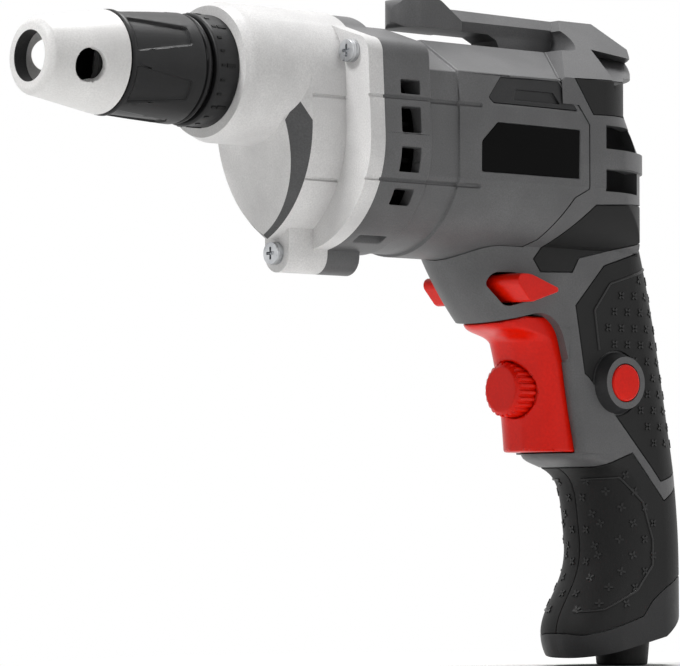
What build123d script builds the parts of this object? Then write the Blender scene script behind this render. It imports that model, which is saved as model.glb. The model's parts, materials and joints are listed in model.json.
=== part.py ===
from build123d import *
import math
import os

# Corded drywall screwdriver. Millimetres. The spindle turns on the X axis, the nose points to -X,
# the handle hangs down -Z, and y = 0 is the plane between the two handle shells.
# The origin is the mouth of the spindle's hex bit socket.

os.makedirs("parts", exist_ok=True)

# Clearances
RUN_FIT = 0.04        # radial gap of a shaft that turns in a bush or bearing
SLIDE_FIT = 0.06      # gap of a piece that slides on another
FREE_GAP = 0.3        # gap between pieces that move past each other
SEAM_GAP = 0.25       # line that shows between two mouldings
FACE_GAP = 0.1        # gap between flat faces that turn or slide together

# Gear pair between the armature and the spindle
GEAR_MODULE = 1.0
PINION_TEETH = 9
WHEEL_TEETH = 33
PRESSURE_ANGLE = 20.0
PROFILE_SHIFT = 0.45
TOOTH_THINNING = 0.16
WHEEL_WIDTH = 9.0
PINION_OVERHANG = 0.9
AXIS_DROP = GEAR_MODULE * (PINION_TEETH + WHEEL_TEETH) / 2
MOTOR_Z = -AXIS_DROP
MOTOR_AXIS = Axis((0, 0, MOTOR_Z), (1, 0, 0))

# Nose piece, depth collar and index ring, front to back
NOSE_REACH = 48.0     # nose face ahead of the bit socket's mouth
NOSE_LENGTH = 27.8
NOSE_FRONT_R = 12.1
NOSE_REAR_R = 16.8
NOSE_BORE_R = 8.05
NOSE_LIP = 5.0
NOSE_CAVITY_R = 10.6
WINDOW_R = 5.3
WINDOW_SETBACK = 14.0
WINDOW_TURN_DEG = 13.0
COLLAR_LENGTH = 32.2
COLLAR_FRONT_R = 17.0
COLLAR_REAR_R = 18.0
COLLAR_GRIP = 28.3    # length of the gripped cone, ahead of the two ring grooves
COLLAR_RIM = 1.9
COLLAR_WEB = 3.4
RECESS_COUNT = 6
RECESS_DEPTH = 0.9
RECESS_LENGTH = 21.5
RECESS_FRONT_W = 12.4
RECESS_REAR_W = 6.4
RING_LENGTH = 9.0
RING_R = 18.3
LOCATOR_WALL = 2.4
LOCATOR_NECK_LENGTH = 9.8
LOCATOR_NECK_R = 12.5
LOCATOR_BORE_R = 10.2
LOCATOR_TAIL = 23.0
RING_GROOVE_W = 1.9
RING_GROOVE_DEPTH = 1.0
KEY_HALF = 1.6

# Gear case
BOSS_R = 12.6
BOSS_BORE_R = 9.5
BOSS_OVERHANG = 14.0  # boss ahead of the bit socket's mouth
NECK_R = 22.9
NECK_CHAMFER = 4.0
NECK_CHAMFER_R = 1.5
CASE_WALL = 3.9
PROW_X = 40.3
BODY_X = 48.0
BODY_HALF = 23.2
PROW_TAPER_DEG = 37.0
PROW_SLOPE_DEG = -11.0
PROW_CREASE_DEG = 5.0
BODY_BOTTOM = -53.0
FLANGE_X = 68.4       # seam between gear case and motor housing
FLANGE_THICK = 6.2
LUG_R = 6.0
LUG_Y = 28.2
LUG_Z = 6.5
TOP_SCREW_Y = 26.4
TOP_SCREW_Z = 7.4
FOOT_LUG_R = 6.2
FOOT_LUG_Z = -57.6
FOOT_LUG_FRONT = 52.0
FOOT_LUG_TAIL = 14.0
GROOVE_W = 1.1
GROOVE_DEPTH = 0.7
GROOVE_END = 112.0
GROOVE_OFFSET = 13.4  # height of the two side grooves above and below the motor axis
CASE_SCREW_HEAD_R = 3.7
CASE_SCREW_HEAD = 2.9
CASE_SCREW_R = 2.0
CASE_SCREW_REACH = 11.0  # thread inside the motor housing

# Spindle, clutch and gear pin
SPINDLE_R = 6.4
SOCKET_FLATS = 6.4
SOCKET_DEPTH = 26.0
BUSH_LENGTH = 19.0
BUSH_REAR_X = 35.0
SEAL_LENGTH = 3.0
CLIP_X = 8.5
CLIP_W = 1.4
BALL_R = 1.5
WASHER_THICK = 1.2
DOG_BODY = 6.4
DOG_OUTER_R = 13.0
DOG_INNER_R = 10.0
DOG_COUNT = 3
DOG_ANGLE = 40.0
DOG_HEIGHT = 3.2
WHEEL_DOG_HEIGHT = 3.2
DOG_GAP = 0.6
CLUTCH_TRAVEL = 3.5
PIN_R = 5.0
PIN_REACH = 8.0
GEAR_BUSH_R = 6.6
CLUTCH_SPRING_R = 8.3
CLUTCH_SPRING_WIRE = 0.9

# Motor
PLATE_THICK = 4.0
PLATE_R = 29.9
BEARING_R = 11.0
BEARING_BORE_R = 4.0
BEARING_WIDTH = 7.0
BEARING_SHOULDER = 1.0
HUB_WALL = 2.5
SHAFT_R = 5.0
FAN_GAP = 7.1
FAN_WIDTH = 11.0
FAN_R = 27.5
FAN_HUB_R = 8.5
FAN_BLADES = 14
GUIDE_THICK = 2.0
GUIDE_BORE_R = 18.0
STATOR_X = 98.0
STATOR_LENGTH = 42.0
STATOR_R = 27.0
STATOR_BORE_R = 15.6
COIL_END = 5.6
COIL_W = 6.0
COIL_H = 6.6
COIL_Y = 12.4
COIL_Z = 17.2
ARMATURE_R = 15.0
ARMATURE_SLOTS = 12
SLOT_W = 2.4
SLOT_DEPTH = 5.2
WINDING_END = 5.6
WINDING_R = 13.4
COMMUTATOR_X = 147.0
COMMUTATOR_LENGTH = 13.0
COMMUTATOR_R = 11.0
COMMUTATOR_BARS = 24
REAR_JOURNAL_R = 3.5
REAR_BEARING_X = 165.0
REAR_BEARING_R = 9.5
REAR_BEARING_WIDTH = 6.0
BOOT_WALL = 2.0
BRUSH_W = 6.0
BRUSH_H = 9.0
BRUSH_LENGTH = 13.0
BRUSH_WALL = 1.1
BRUSH_SPRING_R = 2.2

# Motor housing (barrel)
BARREL_R = 35.6
BARREL_BORE_R = 31.3
BARREL_TOP = 15.3
TOP_HALF = 14.0
SIDE_Y = 33.9
SHOULDER_Z = 3.4
SHOULDER_END = 88.5
WAIST_END = 102.0
WAIST_STEP = 0.9
HUMP_R = 22.4
HUMP_END = 79.0
VENT_X = 75.8
VENT_LENGTH = 8.2
LABEL_DEPTH = 0.9
LABEL_THICK = 0.6
TRIM_DEPTH = 1.7
TRIM_THICK = 1.5
TRIM_POCKET = 0.7
VENT_SPANS = [(-6.1, -1.5), (-18.8, -10.3), (-31.6, -23.5), (-42, -36.9)]
BOTTOM_VENT_Y = 16.0
BOTTOM_VENT_W = 4.0
STATOR_RIB_W = 4.0
PLATE_SEAT = 1.3       # ledge in the motor housing behind the bearing plate

# Handle shells
SHELL_X = 136.0       # front of the shells' barrel end, hidden under the motor housing's seam
ROUND_X = 168.0       # where the barrel's rear end starts to round off
ROUND_TOP = 30.0
ROUND_UPPER = 25.0
ROUND_LOWER = 36.3
BAR_PROUD = 0.9
UPPER_LEDGE_Z = 7.0
LOWER_LEDGE_Z = -6.0
LOWER_SLOPE_Z = -20.0
BAR_TOP_Z = -18.8
BAR_BOTTOM_Z = -25.2
GABLE_ROOM_END = 194.0
GABLE_TOP = 27.8
GABLE_HALF = 8.0
GABLE_FOOT_Z = 4.5
GABLE_REAR_X = 186.0
GABLE_REAR_DROP = 26.0   # fall of the gable's rear slope at the barrel's end
GABLE_RAMP_GAP = 0.6     # ramp at the gable's front, this far behind the seam
GABLE_RECESS_Y = 13.0
SHELL_WALL = 3.0
ROOM_STEP = 0.2       # each room inside the shells is this much narrower than the one below it
WEB_THICK = 4.0
RIB_THICK = 2.0
HANDLE_HALF = 17.6
HANDLE_FRONT_R = 16.0
HANDLE_BACK_R = 16.0
TRIGGER_WALL_R = 3.0
CHIN_R = 16.0
SHELF_Z = -121.5
PAD_THICK = 1.2
PAD_GAP = 0.35
REAR_VENT_X = 168.5
REAR_VENT_LENGTH = 20.0
REAR_VENT_SPANS = [(-18.5, -10.5), (-33, -25.5)]

# Belt hook
HOOK_FRONT_X = 101.2
HOOK_BOTTOM = 20.7
HOOK_TOP = 28.2
HOOK_HALF = 8.0
HOOK_TIP_TOP = 30.8
HOOK_GAP_END = 143.0
HOOK_STEP_X = 126.0
HOOK_NECK_HALF = 6.5
HOOK_CREST_HALF = 4.0
HOOK_WAIST = 3.3         # height of the hook's widest line over its underside
HOOK_RISE_RUN = 10.0     # length of the slope between tip and bar
HOOK_END_X = 174.0
HOOK_SLOT_END = 168.5    # rounded end of the belt slot beside the hook's root
HOOK_SLOT_FLOOR = 15.5
HOOK_SLOT_TOP = 24.3

# Handle controls
LOCK_X = 188.6
LOCK_Z = -97.2
LOCK_R = 6.4
LOCK_FACE_Y = 22.8
LOCK_COLLAR_R = 9.0
LOCK_COLLAR_BASE_R = 10.6
LOCK_COLLAR_Y = 22.2
LOCK_TRAVEL = 3.0
LOCK_FLANGE_R = 8.0
LOCK_FLANGE_THICK = 1.0
LOCK_STEM_R = 2.0
LOCK_STEM_GAP = 0.3
TRIGGER_HALF = 13.6
TRIGGER_FRONT_R = 11.5
TRIGGER_BACK_X = 176.6
TRIGGER_TOP_Z = -75.2
TRIGGER_TRAVEL = 6.5
TRIGGER_WALL = 2.2
TRIGGER_STEM_R = 3.6
TRIGGER_STEM_Z = -99.0
TRIGGER_STEM_REACH = 5.0   # stem inside the switch at rest
DIAL_R = 9.4
DIAL_Z = -99.8
DIAL_FRONT_X = 150.4
DIAL_THICK = 8.5
DIAL_TEETH = 24
DIAL_STEM_R = 2.9
DIAL_BOSS_R = 5.5
LEVER_PIVOT_X = 160.0
LEVER_PIVOT_R = 3.0
LEVER_TOP_Z = -61.2
LEVER_BOTTOM_Z = -70.4
LEVER_SPAN = 22.0
LEVER_REACH = 18.0
LEVER_HUB_R = 5.2
LEVER_ARM_HALF = 3.5
LEVER_SWING_DEG = 6.0   # from the middle to either stop, drawn at one stop
SWITCH_X = 185.0
SWITCH_LENGTH = 25.0
SWITCH_HALF = 9.8
SWITCH_TOP = -79.0
SWITCH_BOTTOM = -117.0
GLAND_X = 207.5
GLAND_R = 9.6
GLAND_NECK_R = 7.4
GLAND_BORE_R = 3.75
GLAND_FOOT_Z = -194.5
GLAND_FOOT_R = 8.9
GLAND_INNER_R = 9.0
GLAND_INNER = 2.0
CLAMP_Z = -174.0
CLAMP_HALF_Z = 3.0
CLAMP_HALF_X = 7.8
CLAMP_THICK = 3.0
CLAMP_SCREW_OFFSET = 6.0
TERMINAL_CORNER = (197.0, -134.0)
TERMINAL_SIZE = (13.0, 9.7, 9.0)
CAPACITOR_CORNER = (201.0, -164.0)
CAPACITOR_SIZE = (12.0, 10.7, 15.0)
HANDLE_SCREW_HEAD_R = 3.1
HANDLE_SCREW_HEAD = 2.4
HANDLE_SCREW_R = 1.5
HANDLE_SCREW_SEAT_Y = 10.0
HANDLE_SCREW_LENGTH = 20.0
HANDLE_BOSS_R = 3.8
HANDLE_SCREW_PLACES = [(180, 14), (183, -44), (182, -69), (203, -142), (219, -170)]

# Side outlines of the mouldings, as (x, z) points
GABLE_RECESS = [(174.5, 17), (198, 13.5), (216, 11), (216, 2), (172.5, 2)]
HOOK_TIP_RADII = [2.5, 0, 0, 6.0, 4.5]
SEAM_LINE = [(158.6, 15.6), (148.4, 4.5), (159.4, -9.2), (160.8, -11), (160.8, -32.7), (155.5, -35.7),
             (148.5, -49.5), (142.5, -53.6), (136, -58)]
LABEL_OUTLINE = [(119.2, -12.6), (112.1, -19.4), (112, -29.5), (156.3, -29.5), (156.6, -12.9)]
TRIM_OUTLINE = [(120.8, 2.6), (146.9, 3.2), (155.4, -6.6), (117.2, -6.4), (115.1, -4.5)]
TRIM_POCKET_OUTLINE = [(127.5, -1.2), (144.5, -1.2), (147.5, -4.8), (126.5, -4.8)]
UPPER_BUMPER_OUTLINE = [(153.8, 4.6), (207, 6.2), (207, -6.5), (162.5, -7.5)]
LOWER_BUMPER_OUTLINE = [(166, -37.5), (212, -35), (212, -45.5), (171, -55), (168, -60), (153, -60.5),
                        (149.5, -56)]
PALM_OUTLINE = [(182.7, -56.7), (200.2, -51.3), (226, -43), (246, -43), (246, -115), (215.7, -129.2),
                (209.5, -131), (205.2, -126.2), (175.6, -95.7), (173.5, -94.4), (169.2, -71)]
FINGER_OUTLINE = [(150, -127), (181.6, -125.8), (196.2, -120.8), (211.2, -137.2), (217.7, -133.5),
                  (246, -117), (246, -161), (219.2, -164.3), (211.7, -168), (205.9, -172.1),
                  (201.2, -177.6), (178.7, -184.2), (161, -179.7), (150, -179)]

# Handle sections from top to bottom, as (z, front x, back x)
UPPER_ROWS = [(-40, 161, 205.3), (-66, 163, 212.8), (-92, 166.3, 218.3), (-121.5, 172.2, 223.9)]
GRIP_ROWS = [(-121.5, 167, 223.9), (-124.5, 171.5, 224.4), (-129, 181.5, 225.1), (-140, 185.8, 226.3),
             (-155, 187.3, 227.3), (-168, 183, 227.5), (-180, 176.5, 227.5), (-187, 176.5, 227.4),
             (-193, 180.5, 227.3)]
TRIGGER_ROWS = [(-80, 150.2), (-90, 153.2), (-100, 155.3), (-121, 157.8)]
TRIGGER_LIP_ROWS = [(-74, 140.6), (-79.3, 141.2), (-81, 146.6), (-84, 151.6)]
ARCH_OUTLINE = [(128, -80), (161.1, -71.75), (166.4, -90.5), (128, -90.5)]
ARCH_R = 12.0
WING_OUTLINE = [(130.7, -61.5), (140.9, -61.5), (157.3, -66.4), (140.7, -71.3)]
WING_RADII = [2.4, 12.0, 1.0, 3.0]
LEVER_WINDOW = [(127.6, -60.9), (142.0, -60.9), (160.5, -66.4), (139.6, -72.6)]
LEVER_WINDOW_RADII = [3.0, 12.0, 1.0, 3.5]
CHIN_ROWS = [(-40, 114, 190), (-57, 122, 190), (-70, 131, 190), (-78.5, 138.5, 190)]
SOLE_FRONT = (180, -191.6)
SOLE_BACK = (212, -184.6)
HEEL_BACK = (225.5, -176)
HEEL_FOOT = (212.4, -184.5)

# Places along the spindle axis that follow from the sizes above
nose_front = -NOSE_REACH
nose_rear = nose_front + NOSE_LENGTH
collar_front = nose_rear + FREE_GAP + 0.2
collar_rear = collar_front + COLLAR_LENGTH
ring_front = collar_rear + FREE_GAP
neck_front = ring_front + RING_LENGTH
boss_front = -BOSS_OVERHANG
flange_front = FLANGE_X - FLANGE_THICK
washer_front = BUSH_REAR_X + FACE_GAP
dog_front = washer_front + WASHER_THICK + FACE_GAP
dog_face = dog_front + DOG_BODY
dog_tip = dog_face + DOG_HEIGHT
wheel_dog_tip = dog_tip + DOG_GAP
wheel_front = wheel_dog_tip + WHEEL_DOG_HEIGHT
wheel_rear = wheel_front + WHEEL_WIDTH
thrust_front = wheel_rear + FACE_GAP
plate_hub_front = thrust_front + WASHER_THICK
plate_front = FLANGE_X - PLATE_THICK
bearing_front = plate_hub_front + BEARING_SHOULDER
pinion_front = wheel_front - PINION_OVERHANG
pinion_rear = wheel_rear + PINION_OVERHANG
fan_front = FLANGE_X + FAN_GAP
fan_rear = fan_front + FAN_WIDTH
guide_front = fan_rear + 1.0
stator_rear = STATOR_X + STATOR_LENGTH
commutator_rear = COMMUTATOR_X + COMMUTATOR_LENGTH
brush_x = COMMUTATOR_X + COMMUTATOR_LENGTH / 2
rear_bearing_rear = REAR_BEARING_X + REAR_BEARING_WIDTH


def turned(outline, axis_z=0.0):
    """A solid turned about a line along X at height axis_z, from (x, radius) points."""
    with BuildPart() as piece:
        with BuildSketch(Plane.XZ):
            with BuildLine():
                Polyline(*[(x, axis_z + r) for x, r in outline], close=True)
            make_face()
        revolve(axis=Axis((0, 0, axis_z), (1, 0, 0)))
    return piece.part


def tube(x_low, x_high, outer_r, inner_r, axis_z=0.0):
    """A plain ring along X."""
    return turned([(x_low, inner_r), (x_high, inner_r), (x_high, outer_r), (x_low, outer_r)], axis_z)


def rod(x_low, x_high, radius, axis_z=0.0):
    """A plain cylinder along X."""
    return turned([(x_low, 0), (x_high, 0), (x_high, radius), (x_low, radius)], axis_z)


def cross_rod(x, z, y_low, y_high, radius):
    """A plain cylinder along Y."""
    with BuildPart() as piece:
        with BuildSketch(Plane.XZ.offset(-y_low)):
            with Locations((x, z)):
                Circle(radius)
        extrude(amount=y_low - y_high)
    return piece.part


def block(x_span, y_span, z_span):
    """A plain box from its spans along the three axes."""
    with BuildPart() as piece:
        with Locations(tuple((low + high) / 2 for low, high in (x_span, y_span, z_span))):
            Box(x_span[1] - x_span[0], y_span[1] - y_span[0], z_span[1] - z_span[0])
    return piece.part


def side_prism(outline, y_low, y_high, grow=0.0):
    """A prism over an outline in the XZ plane, grown or shrunk all round, from y_low to y_high."""
    with BuildPart() as piece:
        with BuildSketch(Plane.XZ.offset(-y_low)):
            with BuildLine():
                Polyline(*outline, close=True)
            make_face()
            if grow != 0:
                offset(amount=grow, kind=Kind.INTERSECTION, mode=Mode.REPLACE)
        extrude(amount=y_low - y_high)
    return piece.part


def rounded_prism(outline, radii, y_low, y_high):
    """A prism over an outline in the XZ plane, with one radius for each of its corners."""
    with BuildPart() as piece:
        with BuildSketch(Plane.XZ.offset(-y_low)) as side:
            with BuildLine():
                Polyline(*outline, close=True)
            make_face()
            for (x, z), radius in zip(outline, radii):
                if radius > 0:
                    fillet(side.vertices().sort_by_distance((x, z, 0))[0], radius)
        extrude(amount=y_low - y_high)
    return piece.part


def mirrored(solid):
    """The same solid on the other side of the plane between the shells."""
    return mirror(solid, about=Plane.XZ, mode=Mode.PRIVATE)


def involute_outline(teeth, shift, addendum, quarter_turn):
    """The outline points of an involute gear, with a tooth at the top when quarter_turn is 0."""
    pitch_r = GEAR_MODULE * teeth / 2
    base_r = pitch_r * math.cos(math.radians(PRESSURE_ANGLE))
    tip_r = pitch_r + GEAR_MODULE * (addendum + shift)
    root_r = pitch_r + GEAR_MODULE * (shift - 1.25)
    start_r = max(base_r, root_r)
    tangent = math.tan(math.radians(PRESSURE_ANGLE))
    pitch_involute = tangent - math.radians(PRESSURE_ANGLE)
    thickness = GEAR_MODULE * (math.pi / 2 + 2 * shift * tangent) - TOOTH_THINNING
    half_pitch = thickness / (2 * pitch_r) + pitch_involute
    flank = []
    flank_steps = 5
    for step in range(flank_steps + 1):
        r = start_r + (tip_r - start_r) * step / flank_steps
        roll = math.acos(min(1.0, base_r / r))
        flank.append((r, half_pitch - (math.tan(roll) - roll)))
    if root_r < start_r:
        flank.insert(0, (root_r, flank[0][1]))
    points = []
    for tooth in range(teeth):
        centre = math.pi / 2 + 2 * math.pi * (tooth + quarter_turn) / teeth
        rising = [(r, centre - half) for r, half in flank]
        falling = [(r, centre + half) for r, half in reversed(flank)]
        points += [(r * math.cos(a), r * math.sin(a)) for r, a in rising + falling]
    return points


def gear_blank(x_low, x_high, axis_z, teeth, shift, addendum, quarter_turn):
    """A toothed disc along X."""
    with BuildPart() as piece:
        with BuildSketch(Plane.YZ.offset(x_low)):
            with BuildLine():
                Polyline(
                    *[(y, axis_z + z) for y, z in involute_outline(teeth, shift, addendum, quarter_turn)],
                    close=True,
                )
            make_face()
        extrude(amount=x_high - x_low)
    return piece.part


def dog_ring(x_low, x_high, first_deg):
    """The clutch dogs that stand on a face, as separate ring sectors along X."""
    with BuildPart() as piece:
        with BuildSketch(Plane.YZ.offset(x_low)):
            for dog in range(DOG_COUNT):
                middle = first_deg + 360 * dog / DOG_COUNT
                with BuildLine():
                    outer = CenterArc((0, 0), DOG_OUTER_R, middle - DOG_ANGLE / 2, DOG_ANGLE)
                    inner = CenterArc((0, 0), DOG_INNER_R, middle - DOG_ANGLE / 2, DOG_ANGLE)
                    Line(outer @ 0, inner @ 0)
                    Line(outer @ 1, inner @ 1)
                make_face()
        extrude(amount=x_high - x_low)
    return piece.part


def coil_spring(start, direction, length, mean_r, wire_r, turns):
    """An open coil spring of round wire."""
    pitch = (length - 2 * wire_r) / turns
    with BuildPart() as piece:
        with BuildLine() as path:
            Helix(
                pitch=pitch, height=pitch * turns, radius=mean_r,
                center=Vector(*start) + Vector(*direction) * wire_r, direction=direction,
            )
        with BuildSketch(Plane(origin=path.line @ 0, z_dir=path.line % 0)):
            Circle(wire_r)
        sweep(path=path.line)
    return piece.part


# Nose piece
nose_wall_x = nose_rear - LOCATOR_NECK_LENGTH - 1.0
nose_cone = [(nose_front, 0), (nose_front, NOSE_FRONT_R - 1.6), (nose_front + 1.6, NOSE_FRONT_R + 0.2),
             (nose_rear, NOSE_REAR_R), (nose_rear, 0)]
with BuildPart() as nose_piece:
    add(turned(nose_cone))
    add(rod(nose_front, nose_rear, NOSE_BORE_R), mode=Mode.SUBTRACT)
    add(rod(nose_front + NOSE_LIP, nose_rear, NOSE_CAVITY_R), mode=Mode.SUBTRACT)
    add(rod(nose_wall_x, nose_rear, LOCATOR_NECK_R + SLIDE_FIT), mode=Mode.SUBTRACT)
    window_rod = cross_rod(nose_front + WINDOW_SETBACK, 0, -NOSE_REAR_R, NOSE_REAR_R, WINDOW_R)
    add(window_rod.rotate(Axis.X, WINDOW_TURN_DEG), mode=Mode.SUBTRACT)
nose_piece.part.label = "nose_piece"
export_step(nose_piece.part, "parts/nose_piece.step")

# Depth collar, turned by hand, with its web running on the gear case's boss
collar_web_front = collar_rear - COLLAR_WEB
collar_bore_r = COLLAR_FRONT_R - RECESS_DEPTH - 1.0
grip_rear = collar_front + COLLAR_GRIP
groove_r = COLLAR_FRONT_R - 0.4
collar_outline = [
    (collar_front, collar_bore_r), (collar_front, COLLAR_FRONT_R - 0.5), (collar_front + 0.5, COLLAR_FRONT_R),
    (grip_rear, COLLAR_REAR_R), (grip_rear, groove_r), (grip_rear + 1.2, groove_r),
    (grip_rear + 1.2, COLLAR_REAR_R - 0.3), (grip_rear + 2.6, COLLAR_REAR_R - 0.3),
    (grip_rear + 2.6, groove_r), (collar_rear, groove_r), (collar_rear, BOSS_R + SLIDE_FIT),
    (collar_web_front, BOSS_R + SLIDE_FIT),
    (collar_web_front, collar_bore_r),
]
recess_front = collar_front + COLLAR_RIM
with BuildPart() as recess_cutter:
    with BuildSketch(Plane.XY):
        with BuildLine():
            Polyline(
                (recess_front, -RECESS_FRONT_W / 2), (recess_front + RECESS_LENGTH, -RECESS_REAR_W / 2),
                (recess_front + RECESS_LENGTH, RECESS_REAR_W / 2), (recess_front, RECESS_FRONT_W / 2),
                close=True,
            )
        make_face()
    extrude(amount=2 * COLLAR_REAR_R)
    add(
        turned([(collar_front, 0), (collar_front, COLLAR_FRONT_R - RECESS_DEPTH),
                (grip_rear, COLLAR_REAR_R - RECESS_DEPTH), (grip_rear, 0)]),
        mode=Mode.SUBTRACT,
    )
with BuildPart() as depth_collar:
    add(turned(collar_outline))
    for recess in range(RECESS_COUNT):
        add(recess_cutter.part.rotate(Axis.X, 360 * recess / RECESS_COUNT), mode=Mode.SUBTRACT)
depth_collar.part.label = "depth_collar"
export_step(depth_collar.part, "parts/depth_collar.step")

# Index ring on the boss, against the neck
with BuildPart() as index_ring:
    add(turned([
        (ring_front, BOSS_R + 0.02), (ring_front, RING_R - 0.6), (ring_front + 0.6, RING_R),
        (neck_front, RING_R), (neck_front, BOSS_R + 0.02),
    ]))
index_ring.part.label = "index_ring"
export_step(index_ring.part, "parts/index_ring.step")

# Circlip that keeps the collar on the boss
circlip_rear = collar_web_front - FACE_GAP
circlip_front = circlip_rear - 1.1
circlip_root_r = BOSS_R - 0.8
with BuildPart() as collar_circlip:
    add(tube(circlip_front, circlip_rear, BOSS_R + 1.5, circlip_root_r))
    with Locations(((circlip_front + circlip_rear) / 2, 0, -BOSS_R)):
        Box(4, 3.0, 5.0, mode=Mode.SUBTRACT)
collar_circlip.part.label = "collar_circlip"
export_step(collar_circlip.part, "parts/collar_circlip.step")

# Locator sleeve: screwed into the collar, keyed on the boss, carries the nose piece
locator_shoulder = nose_rear + 0.2
locator_front = nose_rear - LOCATOR_NECK_LENGTH
locator_web_rear = locator_shoulder + LOCATOR_WALL
locator_rear = locator_shoulder + LOCATOR_TAIL
locator_outer_r = collar_bore_r - 0.15
ring_groove_x = (locator_front + nose_rear) / 2
with BuildPart() as locator_sleeve:
    add(turned([
        (locator_front, LOCATOR_BORE_R), (locator_front, LOCATOR_NECK_R),
        (ring_groove_x - RING_GROOVE_W / 2, LOCATOR_NECK_R),
        (ring_groove_x - RING_GROOVE_W / 2, LOCATOR_NECK_R - RING_GROOVE_DEPTH),
        (ring_groove_x + RING_GROOVE_W / 2, LOCATOR_NECK_R - RING_GROOVE_DEPTH),
        (ring_groove_x + RING_GROOVE_W / 2, LOCATOR_NECK_R), (locator_shoulder, LOCATOR_NECK_R),
        (locator_shoulder, locator_outer_r), (locator_rear, locator_outer_r),
        (locator_rear, BOSS_R + SLIDE_FIT), (locator_web_rear, BOSS_R + SLIDE_FIT),
        (locator_web_rear, LOCATOR_BORE_R),
    ]))
    add(block((locator_web_rear, locator_rear), (-KEY_HALF, KEY_HALF), (BOSS_R - 1.0, BOSS_R + 0.8)))
locator_sleeve.part.label = "locator_sleeve"
export_step(locator_sleeve.part, "parts/locator_sleeve.step")

# O-ring that grips the nose piece on the locator's neck
with BuildPart() as nose_o_ring:
    add(tube(ring_groove_x - RING_GROOVE_W / 2 + 0.05, ring_groove_x + RING_GROOVE_W / 2 - 0.05,
             LOCATOR_NECK_R + SLIDE_FIT / 2, LOCATOR_NECK_R - RING_GROOVE_DEPTH))
nose_o_ring.part.label = "nose_o_ring"
export_step(nose_o_ring.part, "parts/nose_o_ring.step")


# Gear case: boss, neck, prow and three-lug flange in one casting
def flange_plate(x_low, x_high, grow=0.0):
    """The outline that gear case and motor housing share at their seam, as a plate along X."""
    with BuildPart() as piece:
        with BuildSketch(Plane.YZ.offset(x_low)):
            with BuildSketch(Plane.XY, mode=Mode.PRIVATE) as hull:
                with Locations((LUG_Y, LUG_Z), (-LUG_Y, LUG_Z)):
                    Circle(LUG_R + grow)
                with Locations((0, MOTOR_Z)):
                    Circle(BARREL_R + grow)
                make_hull()
            add(hull.sketch)
            with BuildLine():
                Polyline(
                    (-LUG_Y - 1.8, LUG_Z + LUG_R - 0.4 + grow),
                    (-TOP_HALF + 2, LUG_Z + 2 * LUG_R - 0.5 + grow),
                    (TOP_HALF - 2, LUG_Z + 2 * LUG_R - 0.5 + grow),
                    (LUG_Y + 1.8, LUG_Z + LUG_R - 0.4 + grow),
                    (0, MOTOR_Z), close=True,
                )
            make_face()
        extrude(amount=x_high - x_low)
    return piece.part


def case_section(inset):
    """The drop-shaped section of the gear case's lower body."""
    half = BODY_HALF - inset
    bottom = BODY_BOTTOM + inset
    with BuildSketch() as section:
        with BuildLine():
            Polyline((half, MOTOR_Z * 0.75), (half - 0.3, 0), (-half + 0.3, 0), (-half, MOTOR_Z * 0.75))
            ThreePointArc((half, MOTOR_Z * 0.75), (half * 0.79, bottom * 0.68), (0, bottom))
            ThreePointArc((-half, MOTOR_Z * 0.75), (-half * 0.79, bottom * 0.68), (0, bottom))
        make_face()
    return section.sketch


def case_body(x_low, x_high, inset):
    """The drop-shaped lower body of the gear case, along X."""
    with BuildPart() as piece:
        with BuildSketch(Plane.YZ.offset(x_low)):
            add(case_section(inset))
        extrude(amount=x_high - x_low)
    return piece.part


def foot_lug(x_low, x_high):
    """The lug under the flange that takes the lowest screw."""
    with BuildPart() as piece:
        with BuildSketch(Plane.YZ.offset(x_low)):
            with Locations((0, FOOT_LUG_Z)):
                Circle(FOOT_LUG_R)
            with Locations((0, FOOT_LUG_Z + FOOT_LUG_R)):
                Rectangle(2 * FOOT_LUG_R, 2 * FOOT_LUG_R)
        extrude(amount=x_high - x_low)
    return piece.part


def side_grooves(x_low, x_high, core):
    """Cutters for two shallow lines along the sides, above and below the motor axis, down to a core."""
    with BuildPart() as piece:
        for z in (MOTOR_Z + GROOVE_OFFSET, MOTOR_Z - GROOVE_OFFSET):
            add(block((x_low, x_high), (-2 * BARREL_R, 2 * BARREL_R), (z - GROOVE_W / 2, z + GROOVE_W / 2)))
        add(core, mode=Mode.SUBTRACT)
    return piece.part


hub_r = BEARING_R + HUB_WALL
chamber_r = NECK_R - CASE_WALL
prow_tip_x = PROW_X - 3
prow_inset = (BODY_X - prow_tip_x) * math.tan(math.radians(PROW_TAPER_DEG))
with BuildPart() as prow:
    for x, inset in ((BODY_X, 0), (prow_tip_x, prow_inset)):
        with BuildSketch(Plane.YZ.offset(x)):
            add(case_section(inset))
    loft(ruled=True)
    split(bisect_by=Plane(origin=(PROW_X, 0, MOTOR_Z), z_dir=Vector(1, 0, 0).rotate(Axis.Y, PROW_SLOPE_DEG)
                          .rotate(Axis.Z, PROW_CREASE_DEG)), keep=Keep.TOP)
    split(bisect_by=Plane(origin=(PROW_X, 0, MOTOR_Z), z_dir=Vector(1, 0, 0).rotate(Axis.Y, PROW_SLOPE_DEG)
                          .rotate(Axis.Z, -PROW_CREASE_DEG)), keep=Keep.TOP)
screw_places = [(TOP_SCREW_Y, TOP_SCREW_Z, flange_front), (-TOP_SCREW_Y, TOP_SCREW_Z, flange_front),
                (0, FOOT_LUG_Z, FOOT_LUG_FRONT)]
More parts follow.
